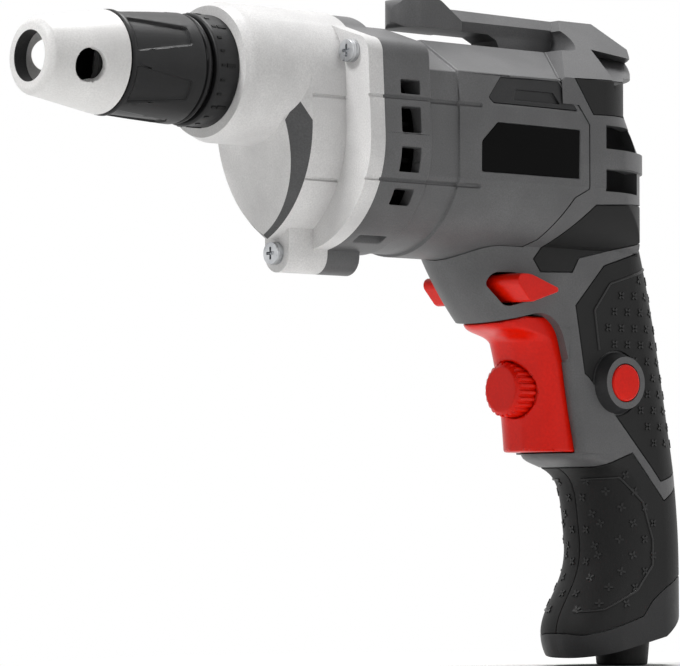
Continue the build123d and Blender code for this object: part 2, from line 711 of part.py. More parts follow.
with BuildPart() as gear_case:
    add(turned([(neck_front, 0), (neck_front, NECK_R - NECK_CHAMFER_R), (neck_front + NECK_CHAMFER, NECK_R),
                (FLANGE_X, NECK_R), (FLANGE_X, 0)]))
    add(rod(boss_front, neck_front, BOSS_R))
    add(case_body(BODY_X, FLANGE_X, 0))
    add(prow.part)
    add(flange_plate(flange_front, FLANGE_X))
    add(foot_lug(FOOT_LUG_FRONT, FLANGE_X))
    add(tube(circlip_front - 0.05, circlip_rear + 0.05, BOSS_R + 1, circlip_root_r), mode=Mode.SUBTRACT)
    add(block((boss_front, locator_rear + 1), (-KEY_HALF - 0.1, KEY_HALF + 0.1), (BOSS_R - 1.1, BOSS_R + 1)),
        mode=Mode.SUBTRACT)
    add(rod(boss_front, BUSH_REAR_X, BOSS_BORE_R), mode=Mode.SUBTRACT)
    add(rod(BUSH_REAR_X, plate_front, chamber_r), mode=Mode.SUBTRACT)
    add(case_body(BODY_X + 1, plate_front, CASE_WALL), mode=Mode.SUBTRACT)
    add(rod(pinion_front - 2, plate_front, GEAR_MODULE * PINION_TEETH, MOTOR_Z), mode=Mode.SUBTRACT)
    add(rod(plate_hub_front - 0.3, plate_front, hub_r + 0.3, MOTOR_Z), mode=Mode.SUBTRACT)
    add(rod(plate_front, FLANGE_X, PLATE_R + 0.05, MOTOR_Z), mode=Mode.SUBTRACT)
    add(rod(plate_front, FLANGE_X, chamber_r + 0.6, 0), mode=Mode.SUBTRACT)
    for y, z, seat in screw_places:
        with BuildSketch(Plane.YZ.offset(seat)):
            with Locations((y, z)):
                Circle(CASE_SCREW_R + 0.2)
        extrude(amount=FLANGE_X - seat, mode=Mode.SUBTRACT)
    add(side_grooves(flange_front, FLANGE_X, flange_plate(flange_front, FLANGE_X, -GROOVE_DEPTH)),
        mode=Mode.SUBTRACT)
    add(side_grooves(BODY_X, flange_front, case_body(BODY_X, FLANGE_X, GROOVE_DEPTH)), mode=Mode.SUBTRACT)
gear_case.part.label = "gear_case"
export_step(gear_case.part, "parts/gear_case.step")

# Flange screws, three alike
with BuildPart() as gear_case_screws:
    for y, z, seat in screw_places:
        with BuildSketch(Plane.YZ.offset(seat - CASE_SCREW_HEAD)):
            with Locations((y, z)):
                Circle(CASE_SCREW_HEAD_R)
        extrude(amount=CASE_SCREW_HEAD)
        with BuildSketch(Plane.YZ.offset(seat)):
            with Locations((y, z)):
                Circle(CASE_SCREW_R)
        extrude(amount=FLANGE_X + CASE_SCREW_REACH - seat)
        with BuildSketch(Plane.YZ.offset(seat - CASE_SCREW_HEAD)):
            with Locations((y, z)):
                Rectangle(CASE_SCREW_HEAD_R * 1.1, 0.9)
                Rectangle(0.9, CASE_SCREW_HEAD_R * 1.1)
        extrude(amount=CASE_SCREW_HEAD * 0.6, mode=Mode.SUBTRACT)
gear_case_screws.part.label = "gear_case_screws"
export_step(gear_case_screws.part, "parts/gear_case_screws.step")

# Spindle with its hex bit socket and the bore that runs on the gear pin
pin_front = wheel_dog_tip - PIN_REACH
ball_z = SOCKET_FLATS / 2 + BALL_R + 0.05
with BuildPart() as spindle:
    add(turned([(0, 0), (0, SPINDLE_R - 0.6), (0.6, SPINDLE_R), (dog_face, SPINDLE_R), (dog_face, 0)]))
    with BuildSketch(Plane.YZ):
        RegularPolygon(SOCKET_FLATS / 2, 6, major_radius=False)
    extrude(amount=SOCKET_DEPTH, mode=Mode.SUBTRACT)
    add(rod(pin_front - CLUTCH_TRAVEL - 0.6, dog_face, PIN_R + RUN_FIT), mode=Mode.SUBTRACT)
    with Locations((CLIP_X, 0, SPINDLE_R / 2 + 1)):
        Cylinder(BALL_R + 0.02, SPINDLE_R + 2, mode=Mode.SUBTRACT)
spindle.part.label = "spindle"
export_step(spindle.part, "parts/spindle.step")

# Ball and spring clip that hold a bit in the socket
with BuildPart() as bit_ball:
    with Locations((CLIP_X, 0, ball_z)):
        Sphere(BALL_R)
bit_ball.part.label = "bit_ball"
export_step(bit_ball.part, "parts/bit_ball.step")

with BuildPart() as bit_clip:
    add(tube(CLIP_X - CLIP_W / 2, CLIP_X + CLIP_W / 2, SPINDLE_R + 1.0, SPINDLE_R))
    add(block((CLIP_X - 2, CLIP_X + 2), (-1.2, 1.2), (-SPINDLE_R - 2, -SPINDLE_R + 1)), mode=Mode.SUBTRACT)
bit_clip.part.label = "bit_clip"
export_step(bit_clip.part, "parts/bit_clip.step")

# Bush, seal and thrust washer that the spindle runs in
bush_front = BUSH_REAR_X - BUSH_LENGTH
with BuildPart() as spindle_bush:
    add(tube(bush_front, BUSH_REAR_X, BOSS_BORE_R, SPINDLE_R + RUN_FIT))
spindle_bush.part.label = "spindle_bush"
export_step(spindle_bush.part, "parts/spindle_bush.step")

with BuildPart() as spindle_seal:
    add(turned([
        (bush_front - SEAL_LENGTH, SPINDLE_R + 1.4), (bush_front - SEAL_LENGTH, BOSS_BORE_R),
        (bush_front, BOSS_BORE_R), (bush_front, SPINDLE_R + 1.4),
        (bush_front - 1.0, SPINDLE_R + RUN_FIT), (bush_front - 1.8, SPINDLE_R + RUN_FIT),
    ]))
spindle_seal.part.label = "spindle_seal"
export_step(spindle_seal.part, "parts/spindle_seal.step")

with BuildPart() as spindle_thrust_washer:
    add(tube(washer_front, washer_front + WASHER_THICK, DOG_OUTER_R - 1.5, SPINDLE_R + RUN_FIT))
spindle_thrust_washer.part.label = "spindle_thrust_washer"
export_step(spindle_thrust_washer.part, "parts/spindle_thrust_washer.step")

# Clutch: the dog on the spindle, the spring, and the gear with its own dogs
with BuildPart() as driven_dog:
    add(tube(dog_front, dog_face, DOG_OUTER_R, SPINDLE_R))
    add(dog_ring(dog_face, dog_tip, 0))
driven_dog.part.label = "driven_dog"
export_step(driven_dog.part, "parts/driven_dog.step")

with BuildPart() as clutch_spring:
    add(coil_spring((dog_face + FACE_GAP, 0, 0), (1, 0, 0), wheel_front - dog_face - 2 * FACE_GAP,
                    CLUTCH_SPRING_R, CLUTCH_SPRING_WIRE / 2, 2))
clutch_spring.part.label = "clutch_spring"
export_step(clutch_spring.part, "parts/clutch_spring.step")

with BuildPart() as output_gear:
    add(gear_blank(wheel_front, wheel_rear, 0, WHEEL_TEETH, -PROFILE_SHIFT, 1.0, 0))
    add(dog_ring(wheel_dog_tip, wheel_front, 60))
    add(rod(wheel_front, wheel_rear, GEAR_BUSH_R), mode=Mode.SUBTRACT)
output_gear.part.label = "output_gear"
export_step(output_gear.part, "parts/output_gear.step")

with BuildPart() as gear_bush:
    add(tube(wheel_front, wheel_rear, GEAR_BUSH_R, PIN_R + RUN_FIT))
gear_bush.part.label = "gear_bush"
export_step(gear_bush.part, "parts/gear_bush.step")

with BuildPart() as gear_pin:
    add(turned([(pin_front, 0), (pin_front, PIN_R - 0.8), (pin_front + 0.8, PIN_R), (FLANGE_X, PIN_R),
                (FLANGE_X, 0)]))
gear_pin.part.label = "gear_pin"
export_step(gear_pin.part, "parts/gear_pin.step")

with BuildPart() as gear_thrust_washer:
    add(tube(thrust_front, plate_hub_front, PIN_R + 3.6, PIN_R + RUN_FIT))
gear_thrust_washer.part.label = "gear_thrust_washer"
export_step(gear_thrust_washer.part, "parts/gear_thrust_washer.step")

# Bearing plate between gears and motor
with BuildPart() as bearing_plate:
    add(rod(plate_front, FLANGE_X, PLATE_R, MOTOR_Z))
    add(rod(plate_front, FLANGE_X, chamber_r + 0.5))
    add(rod(plate_hub_front, FLANGE_X, PIN_R + 4))
    add(rod(plate_hub_front, FLANGE_X, hub_r, MOTOR_Z))
    add(rod(plate_hub_front, FLANGE_X, PIN_R), mode=Mode.SUBTRACT)
    add(rod(bearing_front, FLANGE_X, BEARING_R, MOTOR_Z), mode=Mode.SUBTRACT)
    add(rod(plate_hub_front, FLANGE_X, BEARING_BORE_R + 3, MOTOR_Z), mode=Mode.SUBTRACT)
bearing_plate.part.label = "bearing_plate"
export_step(bearing_plate.part, "parts/bearing_plate.step")


def ball_bearing(x_low, x_high, outer_r, bore_r):
    """A shielded ball bearing as one ring, its shields set back from both faces."""
    rim = (outer_r - bore_r) * 0.24
    return turned([
        (x_low, bore_r), (x_low, bore_r + rim), (x_low + 0.5, bore_r + rim), (x_low + 0.5, outer_r - rim),
        (x_low, outer_r - rim), (x_low, outer_r), (x_high, outer_r), (x_high, outer_r - rim),
        (x_high - 0.5, outer_r - rim), (x_high - 0.5, bore_r + rim), (x_high, bore_r + rim), (x_high, bore_r),
    ], MOTOR_Z)


with BuildPart() as front_bearing:
    add(ball_bearing(bearing_front, bearing_front + BEARING_WIDTH, BEARING_R, BEARING_BORE_R + RUN_FIT))
front_bearing.part.label = "front_bearing"
export_step(front_bearing.part, "parts/front_bearing.step")

with BuildPart() as rear_bearing:
    add(ball_bearing(REAR_BEARING_X, rear_bearing_rear, REAR_BEARING_R, REAR_JOURNAL_R + RUN_FIT))
rear_bearing.part.label = "rear_bearing"
export_step(rear_bearing.part, "parts/rear_bearing.step")

boot_front = REAR_BEARING_X - 0.5
boot_rear = rear_bearing_rear + BOOT_WALL
with BuildPart() as bearing_boot:
    add(rod(boot_front, boot_rear, REAR_BEARING_R + BOOT_WALL, MOTOR_Z))
    add(rod(boot_front, rear_bearing_rear, REAR_BEARING_R, MOTOR_Z), mode=Mode.SUBTRACT)
    add(rod(boot_front, boot_rear, REAR_JOURNAL_R + 1.5, MOTOR_Z), mode=Mode.SUBTRACT)
bearing_boot.part.label = "bearing_boot"
export_step(bearing_boot.part, "parts/bearing_boot.step")

# Armature: shaft with its pinion, core, windings, commutator and fan
with BuildPart() as armature_shaft:
    add(gear_blank(pinion_front, pinion_rear, MOTOR_Z, PINION_TEETH, PROFILE_SHIFT, 0.85, 0))
    add(turned([
        (pinion_rear, 0), (pinion_rear, BEARING_BORE_R), (fan_front, BEARING_BORE_R), (fan_front, SHAFT_R),
        (commutator_rear + 1, SHAFT_R), (commutator_rear + 1, REAR_JOURNAL_R),
        (rear_bearing_rear, REAR_JOURNAL_R), (rear_bearing_rear, 0),
    ], MOTOR_Z))
armature_shaft.part.label = "armature_shaft"
export_step(armature_shaft.part, "parts/armature_shaft.step")


def around_motor(cutter, count, first_deg=0.0):
    """Copies of one solid, evenly placed about the motor axis."""
    return [cutter.rotate(MOTOR_AXIS, first_deg + 360 * step / count) for step in range(count)]


slot_floor = ARMATURE_R - SLOT_DEPTH
slot_cutter = block((STATOR_X - 1, stator_rear + 1), (-SLOT_W / 2, SLOT_W / 2),
                    (MOTOR_Z + slot_floor, MOTOR_Z + ARMATURE_R + 1))
with BuildPart() as armature_core:
    add(tube(STATOR_X, stator_rear, ARMATURE_R, SHAFT_R, MOTOR_Z))
    for cutter in around_motor(slot_cutter, ARMATURE_SLOTS):
        add(cutter, mode=Mode.SUBTRACT)
armature_core.part.label = "armature_core"
export_step(armature_core.part, "parts/armature_core.step")

slot_bar = block((STATOR_X - WINDING_END / 2, stator_rear + WINDING_END / 2),
                 (-SLOT_W / 2 + 0.05, SLOT_W / 2 - 0.05),
                 (MOTOR_Z + slot_floor + 0.05, MOTOR_Z + WINDING_R))
with BuildPart() as armature_windings:
    add(tube(STATOR_X - WINDING_END, STATOR_X, WINDING_R, SHAFT_R, MOTOR_Z))
    add(tube(stator_rear, stator_rear + WINDING_END, WINDING_R, SHAFT_R, MOTOR_Z))
    for bar in around_motor(slot_bar, ARMATURE_SLOTS):
        add(bar)
armature_windings.part.label = "armature_windings"
export_step(armature_windings.part, "parts/armature_windings.step")

bar_slit = block((COMMUTATOR_X, commutator_rear), (-0.3, 0.3),
                 (MOTOR_Z + COMMUTATOR_R - 1.0, MOTOR_Z + COMMUTATOR_R + 1))
with BuildPart() as commutator:
    add(tube(COMMUTATOR_X, commutator_rear, COMMUTATOR_R, SHAFT_R, MOTOR_Z))
    for cutter in around_motor(bar_slit, COMMUTATOR_BARS):
        add(cutter, mode=Mode.SUBTRACT)
commutator.part.label = "commutator"
export_step(commutator.part, "parts/commutator.step")

blade = block((fan_front, fan_rear), (-0.7, 0.7), (MOTOR_Z + FAN_HUB_R - 1, MOTOR_Z + FAN_R - 0.5))
with BuildPart() as fan:
    add(tube(fan_front, fan_front + 2, FAN_R, SHAFT_R, MOTOR_Z))
    add(tube(fan_front, fan_rear, FAN_HUB_R, SHAFT_R, MOTOR_Z))
    for vane in around_motor(blade, FAN_BLADES):
        add(vane)
fan.part.label = "fan"
export_step(fan.part, "parts/fan.step")

with BuildPart() as air_guide:
    add(tube(guide_front, guide_front + GUIDE_THICK, BARREL_BORE_R, GUIDE_BORE_R, MOTOR_Z))
air_guide.part.label = "air_guide"
export_step(air_guide.part, "parts/air_guide.step")

# Field: laminated stator with a coil round each of its two poles
with BuildPart() as stator_core:
    add(tube(STATOR_X, stator_rear, STATOR_R, STATOR_BORE_R, MOTOR_Z))
    for y in (COIL_Y, -COIL_Y):
        for z in (MOTOR_Z + COIL_Z, MOTOR_Z - COIL_Z):
            add(block((STATOR_X, stator_rear), (y - COIL_W / 2, y + COIL_W / 2),
                      (z - COIL_H / 2, z + COIL_H / 2)), mode=Mode.SUBTRACT)
stator_core.part.label = "stator_core"
export_step(stator_core.part, "parts/stator_core.step")

coil_half = COIL_Y + COIL_W / 2 - 0.05
with BuildPart() as field_coils:
    for z in (MOTOR_Z + COIL_Z, MOTOR_Z - COIL_Z):
        add(block((STATOR_X - COIL_END, stator_rear + COIL_END), (-coil_half, coil_half),
                  (z - COIL_H / 2 + 0.05, z + COIL_H / 2 - 0.05)))
        add(block((STATOR_X, stator_rear), (-COIL_Y + COIL_W / 2 - 0.05, COIL_Y - COIL_W / 2 + 0.05),
                  (z - COIL_H, z + COIL_H)), mode=Mode.SUBTRACT)
field_coils.part.label = "field_coils"
export_step(field_coils.part, "parts/field_coils.step")

# Brush gear: one moulded ring with two square guides, two carbons and their springs
brush_front_y = COMMUTATOR_R + 0.1
guide_inner_y = COMMUTATOR_R + 2.0
brush_back_y = brush_front_y + BRUSH_LENGTH
guide_half_x = BRUSH_W / 2 + BRUSH_WALL
guide_half_z = BRUSH_H / 2 + BRUSH_WALL
ring_inner_r = BARREL_BORE_R - 2.4
with BuildPart() as brush_holders:
    add(tube(brush_x - guide_half_x - 1, brush_x + guide_half_x + 1, BARREL_BORE_R, ring_inner_r, MOTOR_Z))
    for side in (1, -1):
        y_span = sorted((side * guide_inner_y, side * (ring_inner_r + 0.8)))
        add(block((brush_x - guide_half_x, brush_x + guide_half_x), y_span,
                  (MOTOR_Z - guide_half_z, MOTOR_Z + guide_half_z)))
        y_cut = sorted((side * guide_inner_y, side * ring_inner_r))
        add(block((brush_x - BRUSH_W / 2, brush_x + BRUSH_W / 2), y_cut,
                  (MOTOR_Z - BRUSH_H / 2, MOTOR_Z + BRUSH_H / 2)), mode=Mode.SUBTRACT)
brush_holders.part.label = "brush_holders"
export_step(brush_holders.part, "parts/brush_holders.step")

with BuildPart() as carbon_brushes:
    for side in (1, -1):
        y_span = sorted((side * brush_front_y, side * brush_back_y))
        add(block((brush_x - BRUSH_W / 2 + 0.05, brush_x + BRUSH_W / 2 - 0.05), y_span,
                  (MOTOR_Z - BRUSH_H / 2 + 0.05, MOTOR_Z + BRUSH_H / 2 - 0.05)))
carbon_brushes.part.label = "carbon_brushes"
export_step(carbon_brushes.part, "parts/carbon_brushes.step")

with BuildPart() as brush_springs:
    for side in (1, -1):
        add(coil_spring((brush_x, side * brush_back_y, MOTOR_Z), (0, side, 0), ring_inner_r - brush_back_y,
                        BRUSH_SPRING_R, 0.35, 3))
brush_springs.part.label = "brush_springs"
export_step(brush_springs.part, "parts/brush_springs.step")


# Motor housing: the barrel that holds stator, brush gear and bearing plate
def barrel_prism(x_low, x_high, grow):
    """The barrel's cross section along X: a round body with flat sides and sloping shoulders."""
    side = SIDE_Y + grow
    with BuildPart() as piece:
        with BuildSketch(Plane.YZ.offset(x_low)):
            with Locations((0, MOTOR_Z)):
                Circle(BARREL_R + grow)
                Rectangle(2 * side, 4 * BARREL_R, mode=Mode.INTERSECT)
            with BuildLine():
                Polyline(
                    (-side, MOTOR_Z), (-side, MOTOR_Z + GROOVE_OFFSET), (-side + 0.9, SHOULDER_Z + grow / 2),
                    (-TOP_HALF, BARREL_TOP + grow), (TOP_HALF, BARREL_TOP + grow),
                    (side - 0.9, SHOULDER_Z + grow / 2), (side, MOTOR_Z + GROOVE_OFFSET), (side, MOTOR_Z),
                    close=True,
                )
            make_face()
        extrude(amount=x_high - x_low)
    return piece.part


def barrel(grow):
    """The whole barrel from the flange to where its rear end rounds off."""
    with BuildPart() as piece:
        add(flange_plate(FLANGE_X, SHOULDER_END, grow))
        add(rod(FLANGE_X, HUMP_END, HUMP_R + grow))
        add(foot_lug(FLANGE_X, FLANGE_X + FOOT_LUG_TAIL))
        add(barrel_prism(SHOULDER_END, WAIST_END, grow - WAIST_STEP))
        add(barrel_prism(WAIST_END, ROUND_X, grow))
    return piece.part


def front_zone(grow=0.0):
    """Everything ahead of the seam between motor housing and handle shells."""
    ahead = [(SEAM_LINE[-1][0], -2.5 * BARREL_R), (0, -2.5 * BARREL_R), (0, 2 * BARREL_R),
             (SEAM_LINE[0][0], 2 * BARREL_R)]
    return side_prism(SEAM_LINE + ahead, -2 * BARREL_R, 2 * BARREL_R, grow)


label_floor_y = SIDE_Y - LABEL_DEPTH
trim_floor_y = SIDE_Y - TRIM_DEPTH
side_recesses = [
    side_prism(LABEL_OUTLINE, label_floor_y, BARREL_R + 1),
    side_prism(TRIM_OUTLINE, trim_floor_y, BARREL_R + 1),
]
clamp_lip_r = PLATE_R - PLATE_SEAT
stator_rib = block((STATOR_X, stator_rear), (-STATOR_RIB_W / 2, STATOR_RIB_W / 2),
                   (MOTOR_Z + STATOR_R + SLIDE_FIT, MOTOR_Z + BARREL_BORE_R + 1))
with BuildPart() as motor_housing:
    add(barrel(0))
    add(front_zone(), mode=Mode.INTERSECT)
    add(rod(FLANGE_X, FLANGE_X + 2, clamp_lip_r, MOTOR_Z), mode=Mode.SUBTRACT)
    add(rod(FLANGE_X + 2, ROUND_X, BARREL_BORE_R, MOTOR_Z), mode=Mode.SUBTRACT)
    for rib in around_motor(stator_rib, 4, 45):
        add(rib)
    for z_low, z_high in VENT_SPANS:
        add(block((VENT_X, VENT_X + VENT_LENGTH), (-2 * BARREL_R, 2 * BARREL_R), (z_low, z_high)),
            mode=Mode.SUBTRACT)
    for y in (BOTTOM_VENT_Y, -BOTTOM_VENT_Y):
        add(block((FLANGE_X + 4, VENT_X + VENT_LENGTH), (y - BOTTOM_VENT_W / 2, y + BOTTOM_VENT_W / 2),
                  (MOTOR_Z - 2 * BARREL_R, MOTOR_Z)), mode=Mode.SUBTRACT)
    add(side_grooves(FLANGE_X, GROOVE_END, barrel(-GROOVE_DEPTH)), mode=Mode.SUBTRACT)
    for recess in side_recesses:
        add(recess, mode=Mode.SUBTRACT)
        add(mirrored(recess), mode=Mode.SUBTRACT)
    for y, z, seat in screw_places:
        with BuildSketch(Plane.YZ.offset(FLANGE_X)):
            with Locations((y, z)):
                Circle(CASE_SCREW_R)
        extrude(amount=CASE_SCREW_REACH + 0.5, mode=Mode.SUBTRACT)
motor_housing.part.label = "motor_housing"
export_step(motor_housing.part, "parts/motor_housing.step")

# Side trims and bare side labels, alike on both sides
with BuildPart() as trim:
    add(side_prism(TRIM_OUTLINE, trim_floor_y, BARREL_R + 1, -PAD_GAP / 2))
    add(barrel_prism(WAIST_END, ROUND_X, TRIM_THICK - TRIM_DEPTH), mode=Mode.INTERSECT)
    add(side_prism(TRIM_POCKET_OUTLINE, SIDE_Y - 2 * TRIM_POCKET, BARREL_R + 1), mode=Mode.SUBTRACT)
with BuildPart() as side_trims:
    add(trim.part)
    add(mirrored(trim.part))
side_trims.part.label = "side_trims"
export_step(side_trims.part, "parts/side_trims.step")

with BuildPart() as side_labels:
    add(side_prism(LABEL_OUTLINE, label_floor_y, label_floor_y + LABEL_THICK, -PAD_GAP / 2))
    add(side_prism(LABEL_OUTLINE, -label_floor_y - LABEL_THICK, -label_floor_y, -PAD_GAP / 2))
side_labels.part.label = "side_labels"
export_step(side_labels.part, "parts/side_labels.step")


# Outer form of the two handle shells together
def lofted(rows, inset, front_r, back_r, full_half=HANDLE_HALF):
    """A length of handle through rounded sections, set in all round by inset."""
    half = full_half - inset
    with BuildPart() as piece:
        for z, front, back in rows:
            with BuildSketch(Plane.XY.offset(z)) as section:
                with BuildLine():
                    Polyline((front + inset, -half), (back - inset, -half), (back - inset, half),
                             (front + inset, half), close=True)
                make_face()
                middle = (front + back) / 2
                fillet(section.vertices().filter_by(lambda v: v.X < middle), front_r - inset)
                fillet(section.vertices().filter_by(lambda v: abs(v.X - back + inset) < 0.01), back_r - inset)
        loft()
    return piece.part


def plan_slice(z_low, z_high, depth, half):
    """The barrel end seen from above: straight sides that close in half an ellipse."""
    with BuildPart() as piece:
        with BuildSketch(Plane.XY.offset(z_low)):
            with Locations((ROUND_X, 0)):
                Ellipse(depth, half)
                Rectangle(ROUND_X, 2 * half, align=(Align.MAX, Align.CENTER))
        extrude(amount=z_high - z_low)
    return piece.part


def plan_slope(z_low, z_high, depth_low, depth_high, half):
    """The same plan, with its rounded end leaning from one depth to another."""
    with BuildPart() as piece:
        for z, depth in ((z_low, depth_low), (z_high, depth_high)):
            with BuildSketch(Plane.XY.offset(z)):
                with Locations((ROUND_X, 0)):
                    Ellipse(depth, half)
                    Rectangle(ROUND_X, 2 * half, align=(Align.MAX, Align.CENTER))
        loft()
    return piece.part


def rear_plan(inset):
    """The closed rear end seen from above, in bands one above the other."""
    side = SIDE_Y - inset
    with BuildPart() as piece:
        add(plan_slice(UPPER_LEDGE_Z, GABLE_TOP + 1, ROUND_TOP - inset, side))
        add(plan_slice(LOWER_LEDGE_Z, UPPER_LEDGE_Z, ROUND_UPPER - inset, side))
        add(plan_slope(LOWER_SLOPE_Z, LOWER_LEDGE_Z, ROUND_LOWER - inset, ROUND_UPPER - inset, side))
        add(plan_slice(MOTOR_Z - BARREL_R - 1, LOWER_SLOPE_Z, ROUND_LOWER - inset, side))
        add(plan_slice(BAR_BOTTOM_Z, BAR_TOP_Z, ROUND_LOWER + BAR_PROUD - inset, side + BAR_PROUD))
    return piece.part


def gable_form(inset, rear_x):
    """The gable over the barrel's rear: a ramp, the belt slot's end and a recess on each side."""
    side = SIDE_Y - inset
    (head_x, head_z), (foot_x, foot_z) = SEAM_LINE[:2]
    ramp_normal = Vector(head_z - foot_z, 0, foot_x - head_x).normalized()
    slot_r = (HOOK_SLOT_TOP - HOOK_SLOT_FLOOR) / 2
    slot_z = HOOK_SLOT_FLOOR + slot_r
    with BuildPart() as piece:
        with BuildSketch(Plane.YZ.offset(foot_x)):
            with BuildLine():
                Polyline(
                    (-side, MOTOR_Z), (-side, GABLE_FOOT_Z - inset), (-GABLE_HALF, GABLE_TOP - inset),
                    (GABLE_HALF, GABLE_TOP - inset), (side, GABLE_FOOT_Z - inset), (side, MOTOR_Z),
                    close=True,
                )
            make_face()
        extrude(amount=rear_x - foot_x)
        split(bisect_by=Plane(origin=Vector(foot_x, 0, foot_z) + ramp_normal * (GABLE_RAMP_GAP + inset),
                              z_dir=ramp_normal), keep=Keep.TOP)
        across = (-2 * BARREL_R, 2 * BARREL_R)
        slot = block((foot_x, HOOK_SLOT_END - slot_r), across, (HOOK_SLOT_FLOOR, HOOK_SLOT_TOP))
        add(slot, mode=Mode.SUBTRACT)
        add(cross_rod(HOOK_SLOT_END - slot_r, slot_z, *across, slot_r), mode=Mode.SUBTRACT)
        recess = side_prism(GABLE_RECESS, GABLE_RECESS_Y, 2 * BARREL_R)
        add(recess, mode=Mode.SUBTRACT)
        add(mirrored(recess), mode=Mode.SUBTRACT)
    return piece.part


def rear_body(inset):
    """The closed rear end of the barrel with the gable on top, set in all round by inset."""
    side = SIDE_Y - inset
    rear_x = ROUND_X + ROUND_LOWER + 2
    below = MOTOR_Z - 2 * BARREL_R
    with BuildPart() as piece:
        add(gable_form(inset, rear_x))
        add(barrel_prism(SHELL_X, rear_x, -inset))
        add(rear_plan(inset), mode=Mode.INTERSECT)
        add(side_prism(
            [(SHELL_X, below), (SHELL_X, GABLE_TOP + 1), (GABLE_REAR_X, GABLE_TOP + 1),
             (GABLE_REAR_X, GABLE_TOP - inset), (rear_x, GABLE_TOP - GABLE_REAR_DROP - inset),
             (rear_x, below)],
            -2 * BARREL_R, 2 * BARREL_R,
        ), mode=Mode.INTERSECT)
    return piece.part


def foot_plane(inset):
    """The slanted plane of the sole, moved up into the handle by inset."""
    run = SOLE_BACK[0] - SOLE_FRONT[0]
    rise = SOLE_BACK[1] - SOLE_FRONT[1]
    normal = Vector(-rise, 0, run).normalized()
    return Plane(origin=Vector(SOLE_FRONT[0], 0, SOLE_FRONT[1]) + normal * inset, z_dir=normal)


def heel_plane(inset):
    """The chamfer plane at the heel, moved into the handle by inset."""
    run = HEEL_BACK[0] - HEEL_FOOT[0]
    rise = HEEL_BACK[1] - HEEL_FOOT[1]
    normal = Vector(-rise, 0, run).normalized()
    return Plane(origin=Vector(HEEL_FOOT[0], 0, HEEL_FOOT[1]) + normal * inset, z_dir=normal)


def handle_form(inset):
    """The chin, the trigger length and the raked grip, set in all round by inset."""
    with BuildPart() as piece:
        add(lofted(GRIP_ROWS, inset, HANDLE_FRONT_R, HANDLE_BACK_R))
        split(bisect_by=foot_plane(inset), keep=Keep.TOP)
        split(bisect_by=heel_plane(inset), keep=Keep.TOP)
        add(lofted(UPPER_ROWS, inset, TRIGGER_WALL_R + inset * 0.4, HANDLE_BACK_R))
        add(lofted(CHIN_ROWS, inset, CHIN_R, 1 + inset))
    return piece.part


def shell_form(inset):
    """The two shells as one solid body, without the belt hook."""
    with BuildPart() as piece:
        add(rear_body(inset))
        add(handle_form(inset))
    return piece.part


outer_form = shell_form(0)
pad_floor = shell_form(PAD_THICK)

# Belt hook, moulded with the shells and split with them
hook_root_z = BARREL_TOP + SEAM_GAP
hook_waist_z = HOOK_BOTTOM + HOOK_WAIST
tip_side = [(HOOK_FRONT_X, HOOK_BOTTOM), (HOOK_STEP_X, HOOK_BOTTOM), (HOOK_STEP_X, hook_waist_z),
            (HOOK_STEP_X - HOOK_RISE_RUN, HOOK_TIP_TOP), (HOOK_FRONT_X, HOOK_TIP_TOP)]
bar_front_x = HOOK_FRONT_X + HOOK_HALF
bar_side = [
    (bar_front_x, HOOK_BOTTOM), (HOOK_GAP_END - 4, HOOK_BOTTOM), (HOOK_GAP_END, HOOK_BOTTOM - 1.8),
    (HOOK_GAP_END + 1.5, hook_root_z), (HOOK_END_X, hook_root_z), (HOOK_END_X, HOOK_TOP - 0.6),
    (HOOK_STEP_X, HOOK_TOP), (bar_front_x, HOOK_TOP),
]
with BuildPart() as hook_tip:
    with BuildSketch(Plane.XY):
        with Locations((bar_front_x, 0)):
            Circle(HOOK_HALF)
            Rectangle(HOOK_STEP_X, 2 * HOOK_HALF, align=(Align.MIN, Align.CENTER))
    extrude(amount=2 * HOOK_TIP_TOP)
    add(rounded_prism(tip_side, HOOK_TIP_RADII, -2 * HOOK_HALF, 2 * HOOK_HALF), mode=Mode.INTERSECT)
with BuildPart() as hook:
    with BuildSketch(Plane.YZ.offset(bar_front_x)):
        with BuildLine():
            Polyline(
                (-HOOK_NECK_HALF, hook_root_z), (-HOOK_NECK_HALF, HOOK_BOTTOM),
                (-HOOK_HALF, hook_waist_z), (-HOOK_CREST_HALF, HOOK_TOP + 0.2),
                (HOOK_CREST_HALF, HOOK_TOP + 0.2), (HOOK_HALF, hook_waist_z),
                (HOOK_NECK_HALF, HOOK_BOTTOM), (HOOK_NECK_HALF, hook_root_z), close=True,
            )
        make_face()
    extrude(amount=HOOK_END_X - bar_front_x)
    add(side_prism(bar_side, -2 * HOOK_HALF, 2 * HOOK_HALF), mode=Mode.INTERSECT)
    add(hook_tip.part)

# Rubber zones: prisms over the side outlines, with the skin of the outer form between them
pad_outlines = [UPPER_BUMPER_OUTLINE, LOWER_BUMPER_OUTLINE, PALM_OUTLINE, FINGER_OUTLINE]
with BuildPart() as pad_skin:
    add(outer_form)
    add(pad_floor, mode=Mode.SUBTRACT)
lock_ring = cross_rod(LOCK_X, LOCK_Z, -2 * HANDLE_HALF, 0, LOCK_COLLAR_BASE_R + 0.6)


def pad_zone(outline, y_low, y_high, grow):
    """The skin of the outer form under one side outline."""
    with BuildPart() as piece:
        add(side_prism(outline, y_low, y_high, grow))
        add(pad_skin.part, mode=Mode.INTERSECT)
    return piece.part


